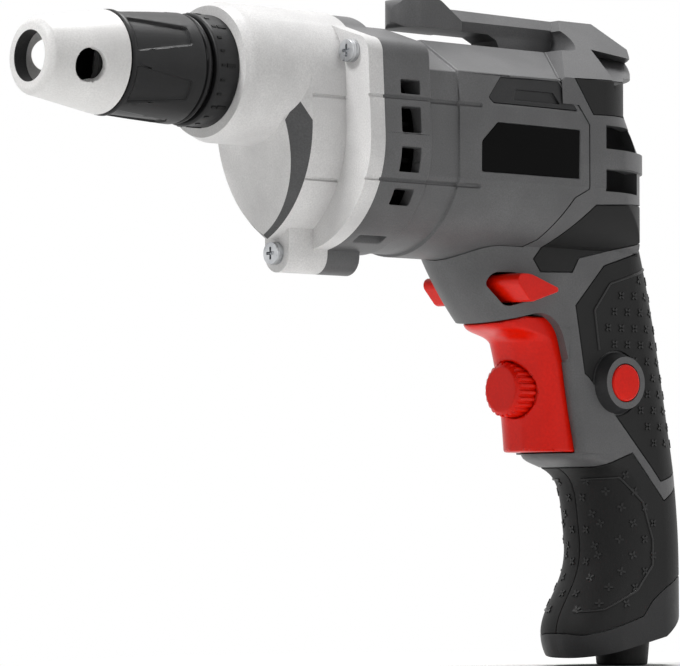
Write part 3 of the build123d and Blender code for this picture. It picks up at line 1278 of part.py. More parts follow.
# Hollow of the shells: motor end, switch room and cord room
shelf_front = UPPER_ROWS[-1][1]
cavity_rows_upper = UPPER_ROWS[:-1] + [(SHELF_Z + SHELL_WALL / 2, shelf_front, UPPER_ROWS[-1][2])]
cavity_rows_grip = [(SHELF_Z + SHELL_WALL, shelf_front + SHELL_WALL, GRIP_ROWS[0][2]),
                    (GRIP_ROWS[1][0], shelf_front + SHELL_WALL, GRIP_ROWS[1][2])] + GRIP_ROWS[2:]
slot_top = TRIGGER_TOP_Z + FREE_GAP
chin_floor = slot_top + SHELL_WALL
chin_slope = (CHIN_ROWS[-1][1] - CHIN_ROWS[-2][1]) / (CHIN_ROWS[-1][0] - CHIN_ROWS[-2][0])
chin_floor_x = CHIN_ROWS[-2][1] + chin_slope * (chin_floor - CHIN_ROWS[-2][0])
cavity_rows_chin = CHIN_ROWS[:-2] + [(chin_floor, chin_floor_x, CHIN_ROWS[-1][2])]
motor_end_r = BARREL_BORE_R + 0.2
motor_end_x = SEAM_LINE[3][0] + 1
with BuildPart() as hollow:
    add(lofted(cavity_rows_grip, SHELL_WALL, HANDLE_FRONT_R, HANDLE_BACK_R))
    split(bisect_by=foot_plane(SHELL_WALL), keep=Keep.TOP)
    split(bisect_by=heel_plane(SHELL_WALL), keep=Keep.TOP)
    add(lofted(cavity_rows_upper, SHELL_WALL, TRIGGER_WALL_R + 1.2, HANDLE_BACK_R, HANDLE_HALF - ROOM_STEP))
    add(lofted(cavity_rows_chin, SHELL_WALL, CHIN_R, 1 + SHELL_WALL, HANDLE_HALF - 2 * ROOM_STEP))
    add(turned([
        (SHELL_X - 1, 0), (SHELL_X - 1, motor_end_r), (motor_end_x, motor_end_r),
        (motor_end_x, motor_end_r - 1.2),
        (ROUND_X + 8, motor_end_r - 1.2), (ROUND_X + 24, motor_end_r - 11), (ROUND_X + 24, 0),
    ], MOTOR_Z))
    add(block((HOOK_END_X, GABLE_ROOM_END), (-GABLE_HALF - 1, GABLE_HALF + 1), (MOTOR_Z, GABLE_TOP - 6)))

# Webs, bosses and ribs inside the shells
web_front = REAR_BEARING_X + 1
with BuildPart() as inner_webs:
    add(rod(web_front, web_front + WEB_THICK, motor_end_r, MOTOR_Z))
    add(rod(web_front, web_front + WEB_THICK, REAR_BEARING_R + BOOT_WALL, MOTOR_Z), mode=Mode.SUBTRACT)
    for z in (MOTOR_Z + 21, MOTOR_Z - 21):
        add(block((web_front, web_front + WEB_THICK), (-6, 6), (z - 5, z + 5)), mode=Mode.SUBTRACT)
spigot_front = brush_x + guide_half_x + 1.3
with BuildPart() as spigot:
    add(tube(spigot_front, motor_end_x + 1, BARREL_BORE_R, BARREL_BORE_R - 2.2, MOTOR_Z))
rib_outer_y = HANDLE_HALF - SHELL_WALL + 0.5
switch_ribs = []
for z in (SWITCH_TOP - 4, SWITCH_BOTTOM + 4):
    switch_ribs.append(block((SWITCH_X + 4, SWITCH_X + 16), (SWITCH_HALF, rib_outer_y),
                             (z - RIB_THICK / 2, z + RIB_THICK / 2)))

# Openings through the shells
lock_flange_y = HANDLE_HALF + 0.4
trigger_bottom = SHELF_Z + 0.5
with BuildPart() as barrel_room:
    add(barrel(SEAM_GAP))
    add(front_zone(SEAM_GAP), mode=Mode.INTERSECT)
with BuildPart() as shells:
    add(outer_form)
    add(hook.part)
    add(barrel_room.part, mode=Mode.SUBTRACT)
    for outline in pad_outlines:
        add(pad_zone(outline, -2 * BARREL_R, 2 * BARREL_R, 0), mode=Mode.SUBTRACT)
    add(hollow.part, mode=Mode.SUBTRACT)
    add(inner_webs.part)
    add(spigot.part)
    for rib in switch_ribs:
        add(rib)
        add(mirrored(rib))

# Finish the shells: controls' openings, vents, screw bosses, seats for the inner pieces, then the split
arch_slope = (ARCH_OUTLINE[1][1] - ARCH_OUTLINE[0][1]) / (ARCH_OUTLINE[1][0] - ARCH_OUTLINE[0][0])
slot_front_x = ARCH_OUTLINE[0][0] + (slot_top - ARCH_OUTLINE[0][1]) / arch_slope
arch_wall_x = UPPER_ROWS[1][1] + SHELL_WALL + 0.5
trigger_stop_x = TRIGGER_BACK_X + TRIGGER_TRAVEL + FREE_GAP
lock_counterbore_r = LOCK_FLANGE_R + FREE_GAP
inner_half = HANDLE_HALF - SHELL_WALL
sole_slope = (SOLE_BACK[1] - SOLE_FRONT[1]) / (SOLE_BACK[0] - SOLE_FRONT[0])
gland_top_z = SOLE_FRONT[1] + sole_slope * (GLAND_X - SOLE_FRONT[0])
gland_plane = Plane(origin=(GLAND_X, 0, gland_top_z), x_dir=(1, 0, sole_slope), z_dir=foot_plane(0).z_dir)
cord_r = GLAND_BORE_R
clamp_rib = block((GLAND_X - CLAMP_HALF_X, GLAND_X + CLAMP_HALF_X), (-inner_half - 1, -cord_r),
                  (CLAMP_Z - CLAMP_HALF_Z, CLAMP_Z + CLAMP_HALF_Z))
with BuildPart() as screw_bosses:
    for x, z in HANDLE_SCREW_PLACES:
        add(cross_rod(x, z, -BARREL_R, BARREL_R, HANDLE_BOSS_R))
    add(pad_floor, mode=Mode.INTERSECT)
with BuildPart() as lever_peg:
    with BuildSketch(Plane.XY.offset(chin_floor - 1)):
        with Locations((LEVER_PIVOT_X, 0)):
            Circle(LEVER_PIVOT_R)
    extrude(amount=LEVER_TOP_Z + 3 - chin_floor + 1)
collar_height = LOCK_COLLAR_Y - HANDLE_HALF
collar_taper = math.degrees(math.atan2(LOCK_COLLAR_BASE_R - LOCK_COLLAR_R, collar_height))
with BuildPart() as lock_collar:
    add(cross_rod(LOCK_X, LOCK_Z, -HANDLE_HALF, -inner_half, LOCK_COLLAR_BASE_R))
    with BuildSketch(Plane.XZ.offset(HANDLE_HALF)):
        with Locations((LOCK_X, LOCK_Z)):
            Circle(LOCK_COLLAR_BASE_R)
    extrude(amount=collar_height, taper=collar_taper)
with BuildPart() as both_shells:
    add(shells.part)
    add(screw_bosses.part)
    add(lever_peg.part)
    add(lock_collar.part)
    add(clamp_rib)
    window = rounded_prism(LEVER_WINDOW, LEVER_WINDOW_RADII, LEVER_HUB_R + FREE_GAP, 2 * HANDLE_HALF)
    add(window, mode=Mode.SUBTRACT)
    add(mirrored(window), mode=Mode.SUBTRACT)
    add(block((ARCH_OUTLINE[1][0] - ARCH_R, arch_wall_x), (-HANDLE_HALF + FREE_GAP, HANDLE_HALF - FREE_GAP),
              (ARCH_OUTLINE[2][1] + 1, CHIN_ROWS[-1][0] + 1.5)))
    add(rounded_prism(ARCH_OUTLINE, [0, ARCH_R, 0, 0], -2 * HANDLE_HALF, 2 * HANDLE_HALF), mode=Mode.SUBTRACT)
    add(block((slot_front_x, trigger_stop_x), (-TRIGGER_HALF - FREE_GAP, TRIGGER_HALF + FREE_GAP),
              (SHELF_Z + 0.2, slot_top)), mode=Mode.SUBTRACT)
    for z_low, z_high in REAR_VENT_SPANS:
        add(block((REAR_VENT_X, REAR_VENT_X + REAR_VENT_LENGTH), (-2 * BARREL_R, 2 * BARREL_R),
                  (z_low, z_high)), mode=Mode.SUBTRACT)
    add(cross_rod(LOCK_X, LOCK_Z, -2 * HANDLE_HALF, -inner_half + 1, LOCK_R + FREE_GAP), mode=Mode.SUBTRACT)
    add(cross_rod(LOCK_X, LOCK_Z, -lock_flange_y - FACE_GAP, -inner_half + 1, lock_counterbore_r),
        mode=Mode.SUBTRACT)
    for x, z in HANDLE_SCREW_PLACES:
        add(cross_rod(x, z, HANDLE_SCREW_SEAT_Y - HANDLE_SCREW_LENGTH - 0.5, HANDLE_SCREW_SEAT_Y,
                      HANDLE_SCREW_R), mode=Mode.SUBTRACT)
        add(cross_rod(x, z, HANDLE_SCREW_SEAT_Y, 2 * BARREL_R, HANDLE_SCREW_HEAD_R + 0.2), mode=Mode.SUBTRACT)
    with BuildSketch(gland_plane.offset(-1)):
        Circle(GLAND_NECK_R)
    extrude(amount=SHELL_WALL + 2, mode=Mode.SUBTRACT)
    with BuildSketch(gland_plane.offset(SHELL_WALL)):
        Circle(GLAND_INNER_R + FREE_GAP)
    extrude(amount=GLAND_INNER + FREE_GAP, mode=Mode.SUBTRACT)
    for x in (GLAND_X - CLAMP_SCREW_OFFSET, GLAND_X + CLAMP_SCREW_OFFSET):
        add(cross_rod(x, CLAMP_Z, -cord_r - 6, -cord_r, 1.0), mode=Mode.SUBTRACT)

with BuildPart() as handle_shell_left:
    add(both_shells.part)
    split(bisect_by=Plane.XZ, keep=Keep.TOP)
handle_shell_left.part.label = "handle_shell_left"
export_step(handle_shell_left.part, "parts/handle_shell_left.step")

with BuildPart() as handle_shell_right:
    add(both_shells.part)
    split(bisect_by=Plane.XZ, keep=Keep.BOTTOM)
handle_shell_right.part.label = "handle_shell_right"
export_step(handle_shell_right.part, "parts/handle_shell_right.step")

# Rubber pads on both shells, with room for the lock collar on the left and the screws on the right
def pad_left(outline):
    """A pad on the left shell."""
    with BuildPart() as piece:
        add(pad_zone(outline, -2 * BARREL_R, -FACE_GAP, -PAD_GAP))
        add(lock_ring, mode=Mode.SUBTRACT)
    return piece.part


def pad_right(outline):
    """A pad on the right shell."""
    with BuildPart() as piece:
        add(pad_zone(outline, FACE_GAP, 2 * BARREL_R, -PAD_GAP))
        for x, z in HANDLE_SCREW_PLACES:
            add(cross_rod(x, z, 0, 2 * BARREL_R, HANDLE_SCREW_HEAD_R + 0.6), mode=Mode.SUBTRACT)
    return piece.part


with BuildPart() as upper_bumpers:
    add(pad_left(UPPER_BUMPER_OUTLINE))
    add(pad_right(UPPER_BUMPER_OUTLINE))
upper_bumpers.part.label = "upper_bumpers"
export_step(upper_bumpers.part, "parts/upper_bumpers.step")

with BuildPart() as lower_bumpers:
    add(pad_left(LOWER_BUMPER_OUTLINE))
    add(pad_right(LOWER_BUMPER_OUTLINE))
lower_bumpers.part.label = "lower_bumpers"
export_step(lower_bumpers.part, "parts/lower_bumpers.step")

with BuildPart() as palm_pad_left:
    add(pad_left(PALM_OUTLINE))
palm_pad_left.part.label = "palm_pad_left"
export_step(palm_pad_left.part, "parts/palm_pad_left.step")

with BuildPart() as palm_pad_right:
    add(pad_right(PALM_OUTLINE))
palm_pad_right.part.label = "palm_pad_right"
export_step(palm_pad_right.part, "parts/palm_pad_right.step")

with BuildPart() as finger_pad_left:
    add(pad_left(FINGER_OUTLINE))
finger_pad_left.part.label = "finger_pad_left"
export_step(finger_pad_left.part, "parts/finger_pad_left.step")

with BuildPart() as finger_pad_right:
    add(pad_right(FINGER_OUTLINE))
finger_pad_right.part.label = "finger_pad_right"
export_step(finger_pad_right.part, "parts/finger_pad_right.step")

# Handle screws, five alike, driven from the right
with BuildPart() as handle_screws:
    for x, z in HANDLE_SCREW_PLACES:
        add(cross_rod(x, z, HANDLE_SCREW_SEAT_Y, HANDLE_SCREW_SEAT_Y + HANDLE_SCREW_HEAD,
                      HANDLE_SCREW_HEAD_R))
        add(cross_rod(x, z, HANDLE_SCREW_SEAT_Y - HANDLE_SCREW_LENGTH, HANDLE_SCREW_SEAT_Y, HANDLE_SCREW_R))
        recess_y = (HANDLE_SCREW_SEAT_Y + HANDLE_SCREW_HEAD * 0.45, HANDLE_SCREW_SEAT_Y + HANDLE_SCREW_HEAD)
        add(block((x - 1.8, x + 1.8), recess_y, (z - 0.4, z + 0.4)), mode=Mode.SUBTRACT)
        add(block((x - 0.4, x + 0.4), recess_y, (z - 1.8, z + 1.8)), mode=Mode.SUBTRACT)
handle_screws.part.label = "handle_screws"
export_step(handle_screws.part, "parts/handle_screws.step")

# Trigger: hollow from behind, with a guide stem and a flange behind the shells' wall
dial_rear = DIAL_FRONT_X + DIAL_THICK
stem_front_x = dial_rear + 9
trigger_outer_rows = [(z, front, TRIGGER_BACK_X) for z, front in TRIGGER_ROWS]
trigger_lip_rows = [(z, front, TRIGGER_BACK_X) for z, front in TRIGGER_LIP_ROWS]
trigger_inner_front = TRIGGER_ROWS[-1][1] + 0.6
trigger_inner_rows = [(z, trigger_inner_front, TRIGGER_BACK_X + 6) for z in (TRIGGER_TOP_Z, trigger_bottom)]
trigger_drop = 2 * FREE_GAP
trigger_cover = [(x, z - trigger_drop) for x, z in ARCH_OUTLINE[:2]]
trigger_cover += [(2 * TRIGGER_BACK_X, ARCH_OUTLINE[1][1]), (2 * TRIGGER_BACK_X, trigger_bottom),
                  (ARCH_OUTLINE[0][0], trigger_bottom)]
with BuildPart() as trigger_room:
    add(lofted(trigger_inner_rows, TRIGGER_WALL, TRIGGER_FRONT_R, TRIGGER_WALL + 0.5, TRIGGER_HALF))
    add(block((dial_rear + TRIGGER_WALL, TRIGGER_BACK_X + 1), (-TRIGGER_HALF, TRIGGER_HALF),
              (trigger_bottom + TRIGGER_WALL, TRIGGER_TOP_Z - TRIGGER_WALL)), mode=Mode.INTERSECT)
with BuildPart() as trigger:
    add(lofted(trigger_outer_rows, 0, TRIGGER_FRONT_R, 0.5, TRIGGER_HALF))
    add(lofted(trigger_lip_rows, 0, TRIGGER_FRONT_R, 0.5, TRIGGER_HALF))
    add(side_prism(trigger_cover, -2 * TRIGGER_HALF, 2 * TRIGGER_HALF), mode=Mode.INTERSECT)
    add(block((ARCH_OUTLINE[0][0], TRIGGER_BACK_X), (-TRIGGER_HALF, TRIGGER_HALF),
              (trigger_bottom, TRIGGER_TOP_Z)), mode=Mode.INTERSECT)
    add(trigger_room.part, mode=Mode.SUBTRACT)
    add(rod(dial_rear + 0.5, stem_front_x, DIAL_BOSS_R, DIAL_Z))
    add(rod(stem_front_x - 1, SWITCH_X + TRIGGER_STEM_REACH, TRIGGER_STEM_R, TRIGGER_STEM_Z))
    add(rod(DIAL_FRONT_X - 10, dial_rear + 0.2, DIAL_R + FREE_GAP, DIAL_Z), mode=Mode.SUBTRACT)
    add(rod(DIAL_FRONT_X, stem_front_x - 2, DIAL_STEM_R + RUN_FIT, DIAL_Z), mode=Mode.SUBTRACT)
trigger.part.label = "trigger"
export_step(trigger.part, "parts/trigger.step")

# Speed dial with a knurled rim
dial_rim = []
for tooth in range(DIAL_TEETH):
    for share, radius in ((0.08, DIAL_R - 0.9), (0.28, DIAL_R), (0.72, DIAL_R), (0.92, DIAL_R - 0.9)):
        angle = 2 * math.pi * (tooth + share) / DIAL_TEETH
        dial_rim.append((radius * math.cos(angle), DIAL_Z + radius * math.sin(angle)))
with BuildPart() as speed_dial:
    with BuildSketch(Plane.YZ.offset(DIAL_FRONT_X)):
        with BuildLine():
            Polyline(*dial_rim, close=True)
        make_face()
    extrude(amount=DIAL_THICK)
    add(turned([
        (DIAL_FRONT_X - 1, 0), (DIAL_FRONT_X, DIAL_R - 2.2), (DIAL_FRONT_X + 1.6, DIAL_R + 0.1),
        (dial_rear, DIAL_R + 0.1), (dial_rear, 0),
    ], DIAL_Z), mode=Mode.INTERSECT)
    add(rod(dial_rear - 1, stem_front_x - 2.3, DIAL_STEM_R, DIAL_Z))
speed_dial.part.label = "speed_dial"
export_step(speed_dial.part, "parts/speed_dial.step")

# Reversing lever: one bar through the chin with a wing on each side
with BuildPart() as lever_bar:
    add(rounded_prism(WING_OUTLINE, WING_RADII, -LEVER_SPAN, LEVER_SPAN))
    with BuildSketch(Plane.XY.offset(LEVER_BOTTOM_Z + 1.8)):
        with Locations((LEVER_PIVOT_X - LEVER_REACH / 2, 0)):
            Rectangle(LEVER_REACH, 2 * LEVER_ARM_HALF)
        with Locations((LEVER_PIVOT_X, 0)):
            Circle(LEVER_HUB_R)
    extrude(amount=LEVER_TOP_Z - LEVER_BOTTOM_Z - 3)
    with BuildSketch(Plane.XY.offset(LEVER_BOTTOM_Z)):
        with Locations((LEVER_PIVOT_X, 0)):
            Circle(LEVER_PIVOT_R + RUN_FIT)
    extrude(amount=LEVER_TOP_Z - LEVER_BOTTOM_Z, mode=Mode.SUBTRACT)
with BuildPart() as reversing_lever:
    add(lever_bar.part.rotate(Axis((LEVER_PIVOT_X, 0, 0), (0, 0, 1)), LEVER_SWING_DEG))
reversing_lever.part.label = "reversing_lever"
export_step(reversing_lever.part, "parts/reversing_lever.step")

# Lock button with its flange behind the collar, and its spring
lock_flange_rear = lock_flange_y - LOCK_FLANGE_THICK
with BuildPart() as lock_button:
    add(cross_rod(LOCK_X, LOCK_Z, -LOCK_FACE_Y, -lock_flange_rear, LOCK_R))
    add(cross_rod(LOCK_X, LOCK_Z, -lock_flange_y, -lock_flange_rear, LOCK_FLANGE_R))
    add(cross_rod(LOCK_X, LOCK_Z, -lock_flange_rear - 1, -SWITCH_HALF - LOCK_TRAVEL - LOCK_STEM_GAP,
                  LOCK_STEM_R))
    fillet(lock_button.edges().filter_by(GeomType.CIRCLE).sort_by(Axis.Y)[0], 1.0)
lock_button.part.label = "lock_button"
export_step(lock_button.part, "parts/lock_button.step")

with BuildPart() as lock_spring:
    add(coil_spring((LOCK_X, -lock_flange_rear + FACE_GAP, LOCK_Z), (0, 1, 0),
                    lock_flange_rear - SWITCH_HALF - 2 * FACE_GAP, LOCK_STEM_R + 2, 0.35, 4))
lock_spring.part.label = "lock_spring"
export_step(lock_spring.part, "parts/lock_spring.step")

# Switch that the trigger's stem slides into
with BuildPart() as switch_body:
    add(block((SWITCH_X, SWITCH_X + SWITCH_LENGTH), (-SWITCH_HALF, SWITCH_HALF), (SWITCH_BOTTOM, SWITCH_TOP)))
    chamfer(switch_body.edges().filter_by(Axis.Z), 1.0)
    add(rod(SWITCH_X, SWITCH_X + TRIGGER_STEM_REACH + TRIGGER_TRAVEL + 1, TRIGGER_STEM_R + SLIDE_FIT,
            TRIGGER_STEM_Z), mode=Mode.SUBTRACT)
switch_body.part.label = "switch_body"
export_step(switch_body.part, "parts/switch_body.step")

with BuildPart() as trigger_spring:
    add(coil_spring((stem_front_x + FACE_GAP, 0, TRIGGER_STEM_Z), (1, 0, 0),
                    SWITCH_X - stem_front_x - 2 * FACE_GAP, TRIGGER_STEM_R + 1.0, 0.4, 7))
trigger_spring.part.label = "trigger_spring"
export_step(trigger_spring.part, "parts/trigger_spring.step")

# Cable gland in the sole
gland_height = SOLE_BACK[1] - GLAND_FOOT_Z + SHELL_WALL + GLAND_INNER
with BuildPart() as gland_collar:
    for z, radius in ((GLAND_FOOT_Z, GLAND_FOOT_R), (GLAND_FOOT_Z + gland_height, GLAND_R + 0.6)):
        with BuildSketch(Plane.XY.offset(z)):
            with Locations((GLAND_X, 0)):
                Circle(radius)
    loft()
    add(outer_form, mode=Mode.SUBTRACT)
with BuildPart() as cable_gland:
    add(gland_collar.part)
    with BuildSketch(gland_plane.offset(-1)):
        Circle(GLAND_NECK_R)
    extrude(amount=SHELL_WALL + 1)
    with BuildSketch(gland_plane.offset(SHELL_WALL)):
        Circle(GLAND_INNER_R)
    extrude(amount=GLAND_INNER)
    with BuildSketch(Plane.XY.offset(GLAND_FOOT_Z)):
        with Locations((GLAND_X, 0)):
            Circle(GLAND_BORE_R)
    extrude(amount=2 * gland_height, mode=Mode.SUBTRACT)
cable_gland.part.label = "cable_gland"
export_step(cable_gland.part, "parts/cable_gland.step")

# Cord clamp on its rib, with two screws
clamp_y = (-cord_r, cord_r + CLAMP_THICK)
with BuildPart() as cord_clamp:
    add(block((GLAND_X - CLAMP_HALF_X, GLAND_X + CLAMP_HALF_X), clamp_y,
              (CLAMP_Z - CLAMP_HALF_Z, CLAMP_Z + CLAMP_HALF_Z)))
    add(block((GLAND_X - cord_r, GLAND_X + cord_r), (-cord_r, cord_r),
              (CLAMP_Z - CLAMP_HALF_Z, CLAMP_Z + CLAMP_HALF_Z)), mode=Mode.SUBTRACT)
    for x in (GLAND_X - CLAMP_SCREW_OFFSET, GLAND_X + CLAMP_SCREW_OFFSET):
        add(cross_rod(x, CLAMP_Z, -cord_r, cord_r + CLAMP_THICK, 1.2), mode=Mode.SUBTRACT)
cord_clamp.part.label = "cord_clamp"
export_step(cord_clamp.part, "parts/cord_clamp.step")

with BuildPart() as cord_clamp_screws:
    for x in (GLAND_X - CLAMP_SCREW_OFFSET, GLAND_X + CLAMP_SCREW_OFFSET):
        add(cross_rod(x, CLAMP_Z, cord_r + CLAMP_THICK, cord_r + CLAMP_THICK + 1.6, 1.8))
        add(cross_rod(x, CLAMP_Z, -cord_r - 6, cord_r + CLAMP_THICK, 1.0))
cord_clamp_screws.part.label = "cord_clamp_screws"
export_step(cord_clamp_screws.part, "parts/cord_clamp_screws.step")


# Terminal block and capacitor on the left shell's wall
def wall_block(corner, size):
    """A plain block that stands on the inside of the left shell."""
    x, z = corner
    y_low = -inner_half + FREE_GAP
    return block((x, x + size[0]), (y_low, y_low + size[1]), (z, z + size[2]))


with BuildPart() as terminal_block:
    add(wall_block(TERMINAL_CORNER, TERMINAL_SIZE))
terminal_block.part.label = "terminal_block"
export_step(terminal_block.part, "parts/terminal_block.step")

with BuildPart() as capacitor:
    add(wall_block(CAPACITOR_CORNER, CAPACITOR_SIZE))
capacitor.part.label = "capacitor"
export_step(capacitor.part, "parts/capacitor.step")
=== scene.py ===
import json
import math
import bmesh
import bpy
from mathutils import Matrix, Vector

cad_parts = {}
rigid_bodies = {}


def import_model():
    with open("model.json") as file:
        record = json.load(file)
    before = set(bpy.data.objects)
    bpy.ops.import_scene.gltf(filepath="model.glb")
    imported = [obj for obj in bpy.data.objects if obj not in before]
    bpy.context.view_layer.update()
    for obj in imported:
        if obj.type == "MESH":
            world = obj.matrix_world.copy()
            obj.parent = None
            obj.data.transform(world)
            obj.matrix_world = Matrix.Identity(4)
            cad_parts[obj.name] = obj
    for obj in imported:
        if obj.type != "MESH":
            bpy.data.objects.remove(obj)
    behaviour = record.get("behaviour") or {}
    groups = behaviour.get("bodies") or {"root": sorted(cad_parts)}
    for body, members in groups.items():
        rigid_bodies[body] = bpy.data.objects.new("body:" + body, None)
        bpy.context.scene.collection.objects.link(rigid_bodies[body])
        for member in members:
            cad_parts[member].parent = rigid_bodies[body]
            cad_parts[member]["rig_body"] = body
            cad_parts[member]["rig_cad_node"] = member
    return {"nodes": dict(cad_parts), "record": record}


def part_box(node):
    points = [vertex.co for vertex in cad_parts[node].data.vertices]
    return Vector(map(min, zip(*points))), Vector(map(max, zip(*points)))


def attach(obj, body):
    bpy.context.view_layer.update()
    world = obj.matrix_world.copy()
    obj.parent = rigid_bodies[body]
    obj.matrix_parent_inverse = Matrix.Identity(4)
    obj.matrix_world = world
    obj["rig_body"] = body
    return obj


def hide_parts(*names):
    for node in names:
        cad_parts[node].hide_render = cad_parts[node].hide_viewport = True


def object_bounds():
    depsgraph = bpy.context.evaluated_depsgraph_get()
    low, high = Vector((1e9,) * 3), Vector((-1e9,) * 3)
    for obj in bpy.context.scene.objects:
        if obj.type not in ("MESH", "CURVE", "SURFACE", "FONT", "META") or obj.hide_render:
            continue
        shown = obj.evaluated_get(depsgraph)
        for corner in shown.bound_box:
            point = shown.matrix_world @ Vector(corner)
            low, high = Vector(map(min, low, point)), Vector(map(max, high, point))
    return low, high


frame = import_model()
cad_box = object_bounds()

# Corded drywall screwdriver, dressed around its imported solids. The frame is in metres: the spindle turns
# on the X axis, the nose points to -X, the handle hangs down -Z and the lock button is on the -Y side.
MM = 0.001
NODES = frame["nodes"]
SLOT_OF = {row["node"]: row["material_slot"] for row in frame["record"]["subparts"]}
scene = bpy.context.scene


def linear(hex_colour):
    """Linear RGBA from an sRGB hex colour."""
    parts = [int(hex_colour[i:i + 2], 16) / 255 for i in (1, 3, 5)]
    return [p / 12.92 if p <= 0.04045 else ((p + 0.055) / 1.055) ** 2.4 for p in parts] + [1.0]


def put(tree, kind, inputs=None, **settings):
    """Adds one node with its settings. An input is a plain value, or a socket to link from."""
    node = tree.nodes.new(kind)
    for name, value in settings.items():
        setattr(node, name, value)
    for name, value in (inputs or {}).items():
        if isinstance(value, bpy.types.NodeSocket):
            tree.links.new(value, node.inputs[name])
        else:
            node.inputs[name].default_value = value
    return node


def placed(name, data):
    """A new object in the scene, at the origin."""
    made = bpy.data.objects.new(name, data)
    scene.collection.objects.link(made)
    return made


# Materials

DRIFT_MM = 18.0
BAND_RELIEF_MM = 0.1
# How far marks are drawn out across Y and Z
MARK_STRETCH = (1.0, 0.12, 0.12)
# Part of the marks' 0 to 1 that varies the gloss, and the shares of the roughness at its two ends
GLOSS_ENDS = (0.3, 0.7)
GLOSS_SHARES = (0.75, 1.25)
# Where the darker and the lighter tone start on a pattern that runs from 0 to 1
MOULDED_ENDS = (0.08, 0.55)
WORKED_ENDS = (0.35, 0.65)
BANDED_ENDS = (0.1, 0.4)


def material(name, roughness, ior=1.5, metallic=0.0, **even):
    """A new material and its shader, with the values that are even all over on the shader's own sockets."""
    made = bpy.data.materials.new(name)
    made.use_nodes = True
    shader = made.node_tree.nodes["Principled BSDF"]
    shader.inputs["Roughness"].default_value = roughness
    shader.inputs["IOR"].default_value = ior
    shader.inputs["Metallic"].default_value = metallic
    for socket, value in even.items():
        shader.inputs[socket.replace("_", " ")].default_value = value
    return made, made.node_tree, shader


def skin(tree, shader, pattern, ends, tones, height, relief_mm):
    """Colours a shader from one tone to the other along a pattern, and raises its relief."""
    ramp = put(tree, "ShaderNodeValToRGB", {"Fac": pattern})
    for stop, end, tone in zip(ramp.color_ramp.elements, ends, tones):
        stop.position = end
        stop.color = linear(tone)
    bump = put(tree, "ShaderNodeBump", {"Height": height, "Distance": relief_mm * MM})
    tree.links.new(ramp.outputs["Color"], shader.inputs["Base Color"])
    tree.links.new(bump.outputs["Normal"], shader.inputs["Normal"])


def moulded(name, colour, light, roughness, grain_mm, relief_mm, ior=1.5, **even):
    """A moulded or sprayed skin: fine grain in relief, and a faint drift between two tones."""
    made, tree, shader = material(name, roughness, ior, **even)
    place = put(tree, "ShaderNodeTexCoord").outputs["Object"]
    grain = put(tree, "ShaderNodeTexNoise", {"Vector": place, "Scale": 1 / (grain_mm * MM), "Detail": 3.0})
    drift = put(tree, "ShaderNodeTexNoise", {"Vector": place, "Scale": 1 / (DRIFT_MM * MM), "Detail": 2.0})
    mottle = put(tree, "ShaderNodeMath", {0: grain.outputs["Fac"], 1: drift.outputs["Fac"]},
                 operation="MULTIPLY")
    skin(tree, shader, mottle.outputs[0], MOULDED_ENDS, (colour, light), grain.outputs["Fac"], relief_mm)
    return made


def worked_metal(name, colour, light, roughness, mark_mm, relief_mm):
    """A turned, drawn or ground metal: fine marks square to the X axis that also vary the gloss."""
    made, tree, shader = material(name, roughness, metallic=1.0)
    place = put(tree, "ShaderNodeTexCoord").outputs["Object"]
    drawn = put(tree, "ShaderNodeMapping", {"Vector": place, "Scale": MARK_STRETCH})
    marks = put(tree, "ShaderNodeTexNoise", {
        "Vector": drawn.outputs[0], "Scale": 1 / (mark_mm * MM), "Detail": 4.0,
    })
    gloss = put(tree, "ShaderNodeMapRange", {
        "Value": marks.outputs["Fac"], "From Min": GLOSS_ENDS[0], "From Max": GLOSS_ENDS[1],
        "To Min": roughness * GLOSS_SHARES[0], "To Max": roughness * GLOSS_SHARES[1],
    })
    tree.links.new(gloss.outputs["Result"], shader.inputs["Roughness"])
    skin(tree, shader, marks.outputs["Fac"], WORKED_ENDS, (colour, light), marks.outputs["Fac"], relief_mm)
    return made


def banded(name, colour, light, roughness, metallic, band_mm, along):
    """Stacked sheet or laid wire: even dark lines a set distance apart, square to one axis."""
    made, tree, shader = material(name, roughness, metallic=metallic)
    place = put(tree, "ShaderNodeTexCoord").outputs["Object"]
    # A wave texture repeats every 0.1 pi of its scaled coordinate.
    bands = put(tree, "ShaderNodeTexWave", {"Vector": place, "Scale": 0.1 * math.pi / (band_mm * MM)},
                bands_direction=along)
    lines = bands.outputs["Fac"]
    skin(tree, shader, lines, BANDED_ENDS, (colour, light), lines, BAND_RELIEF_MM)
    return made


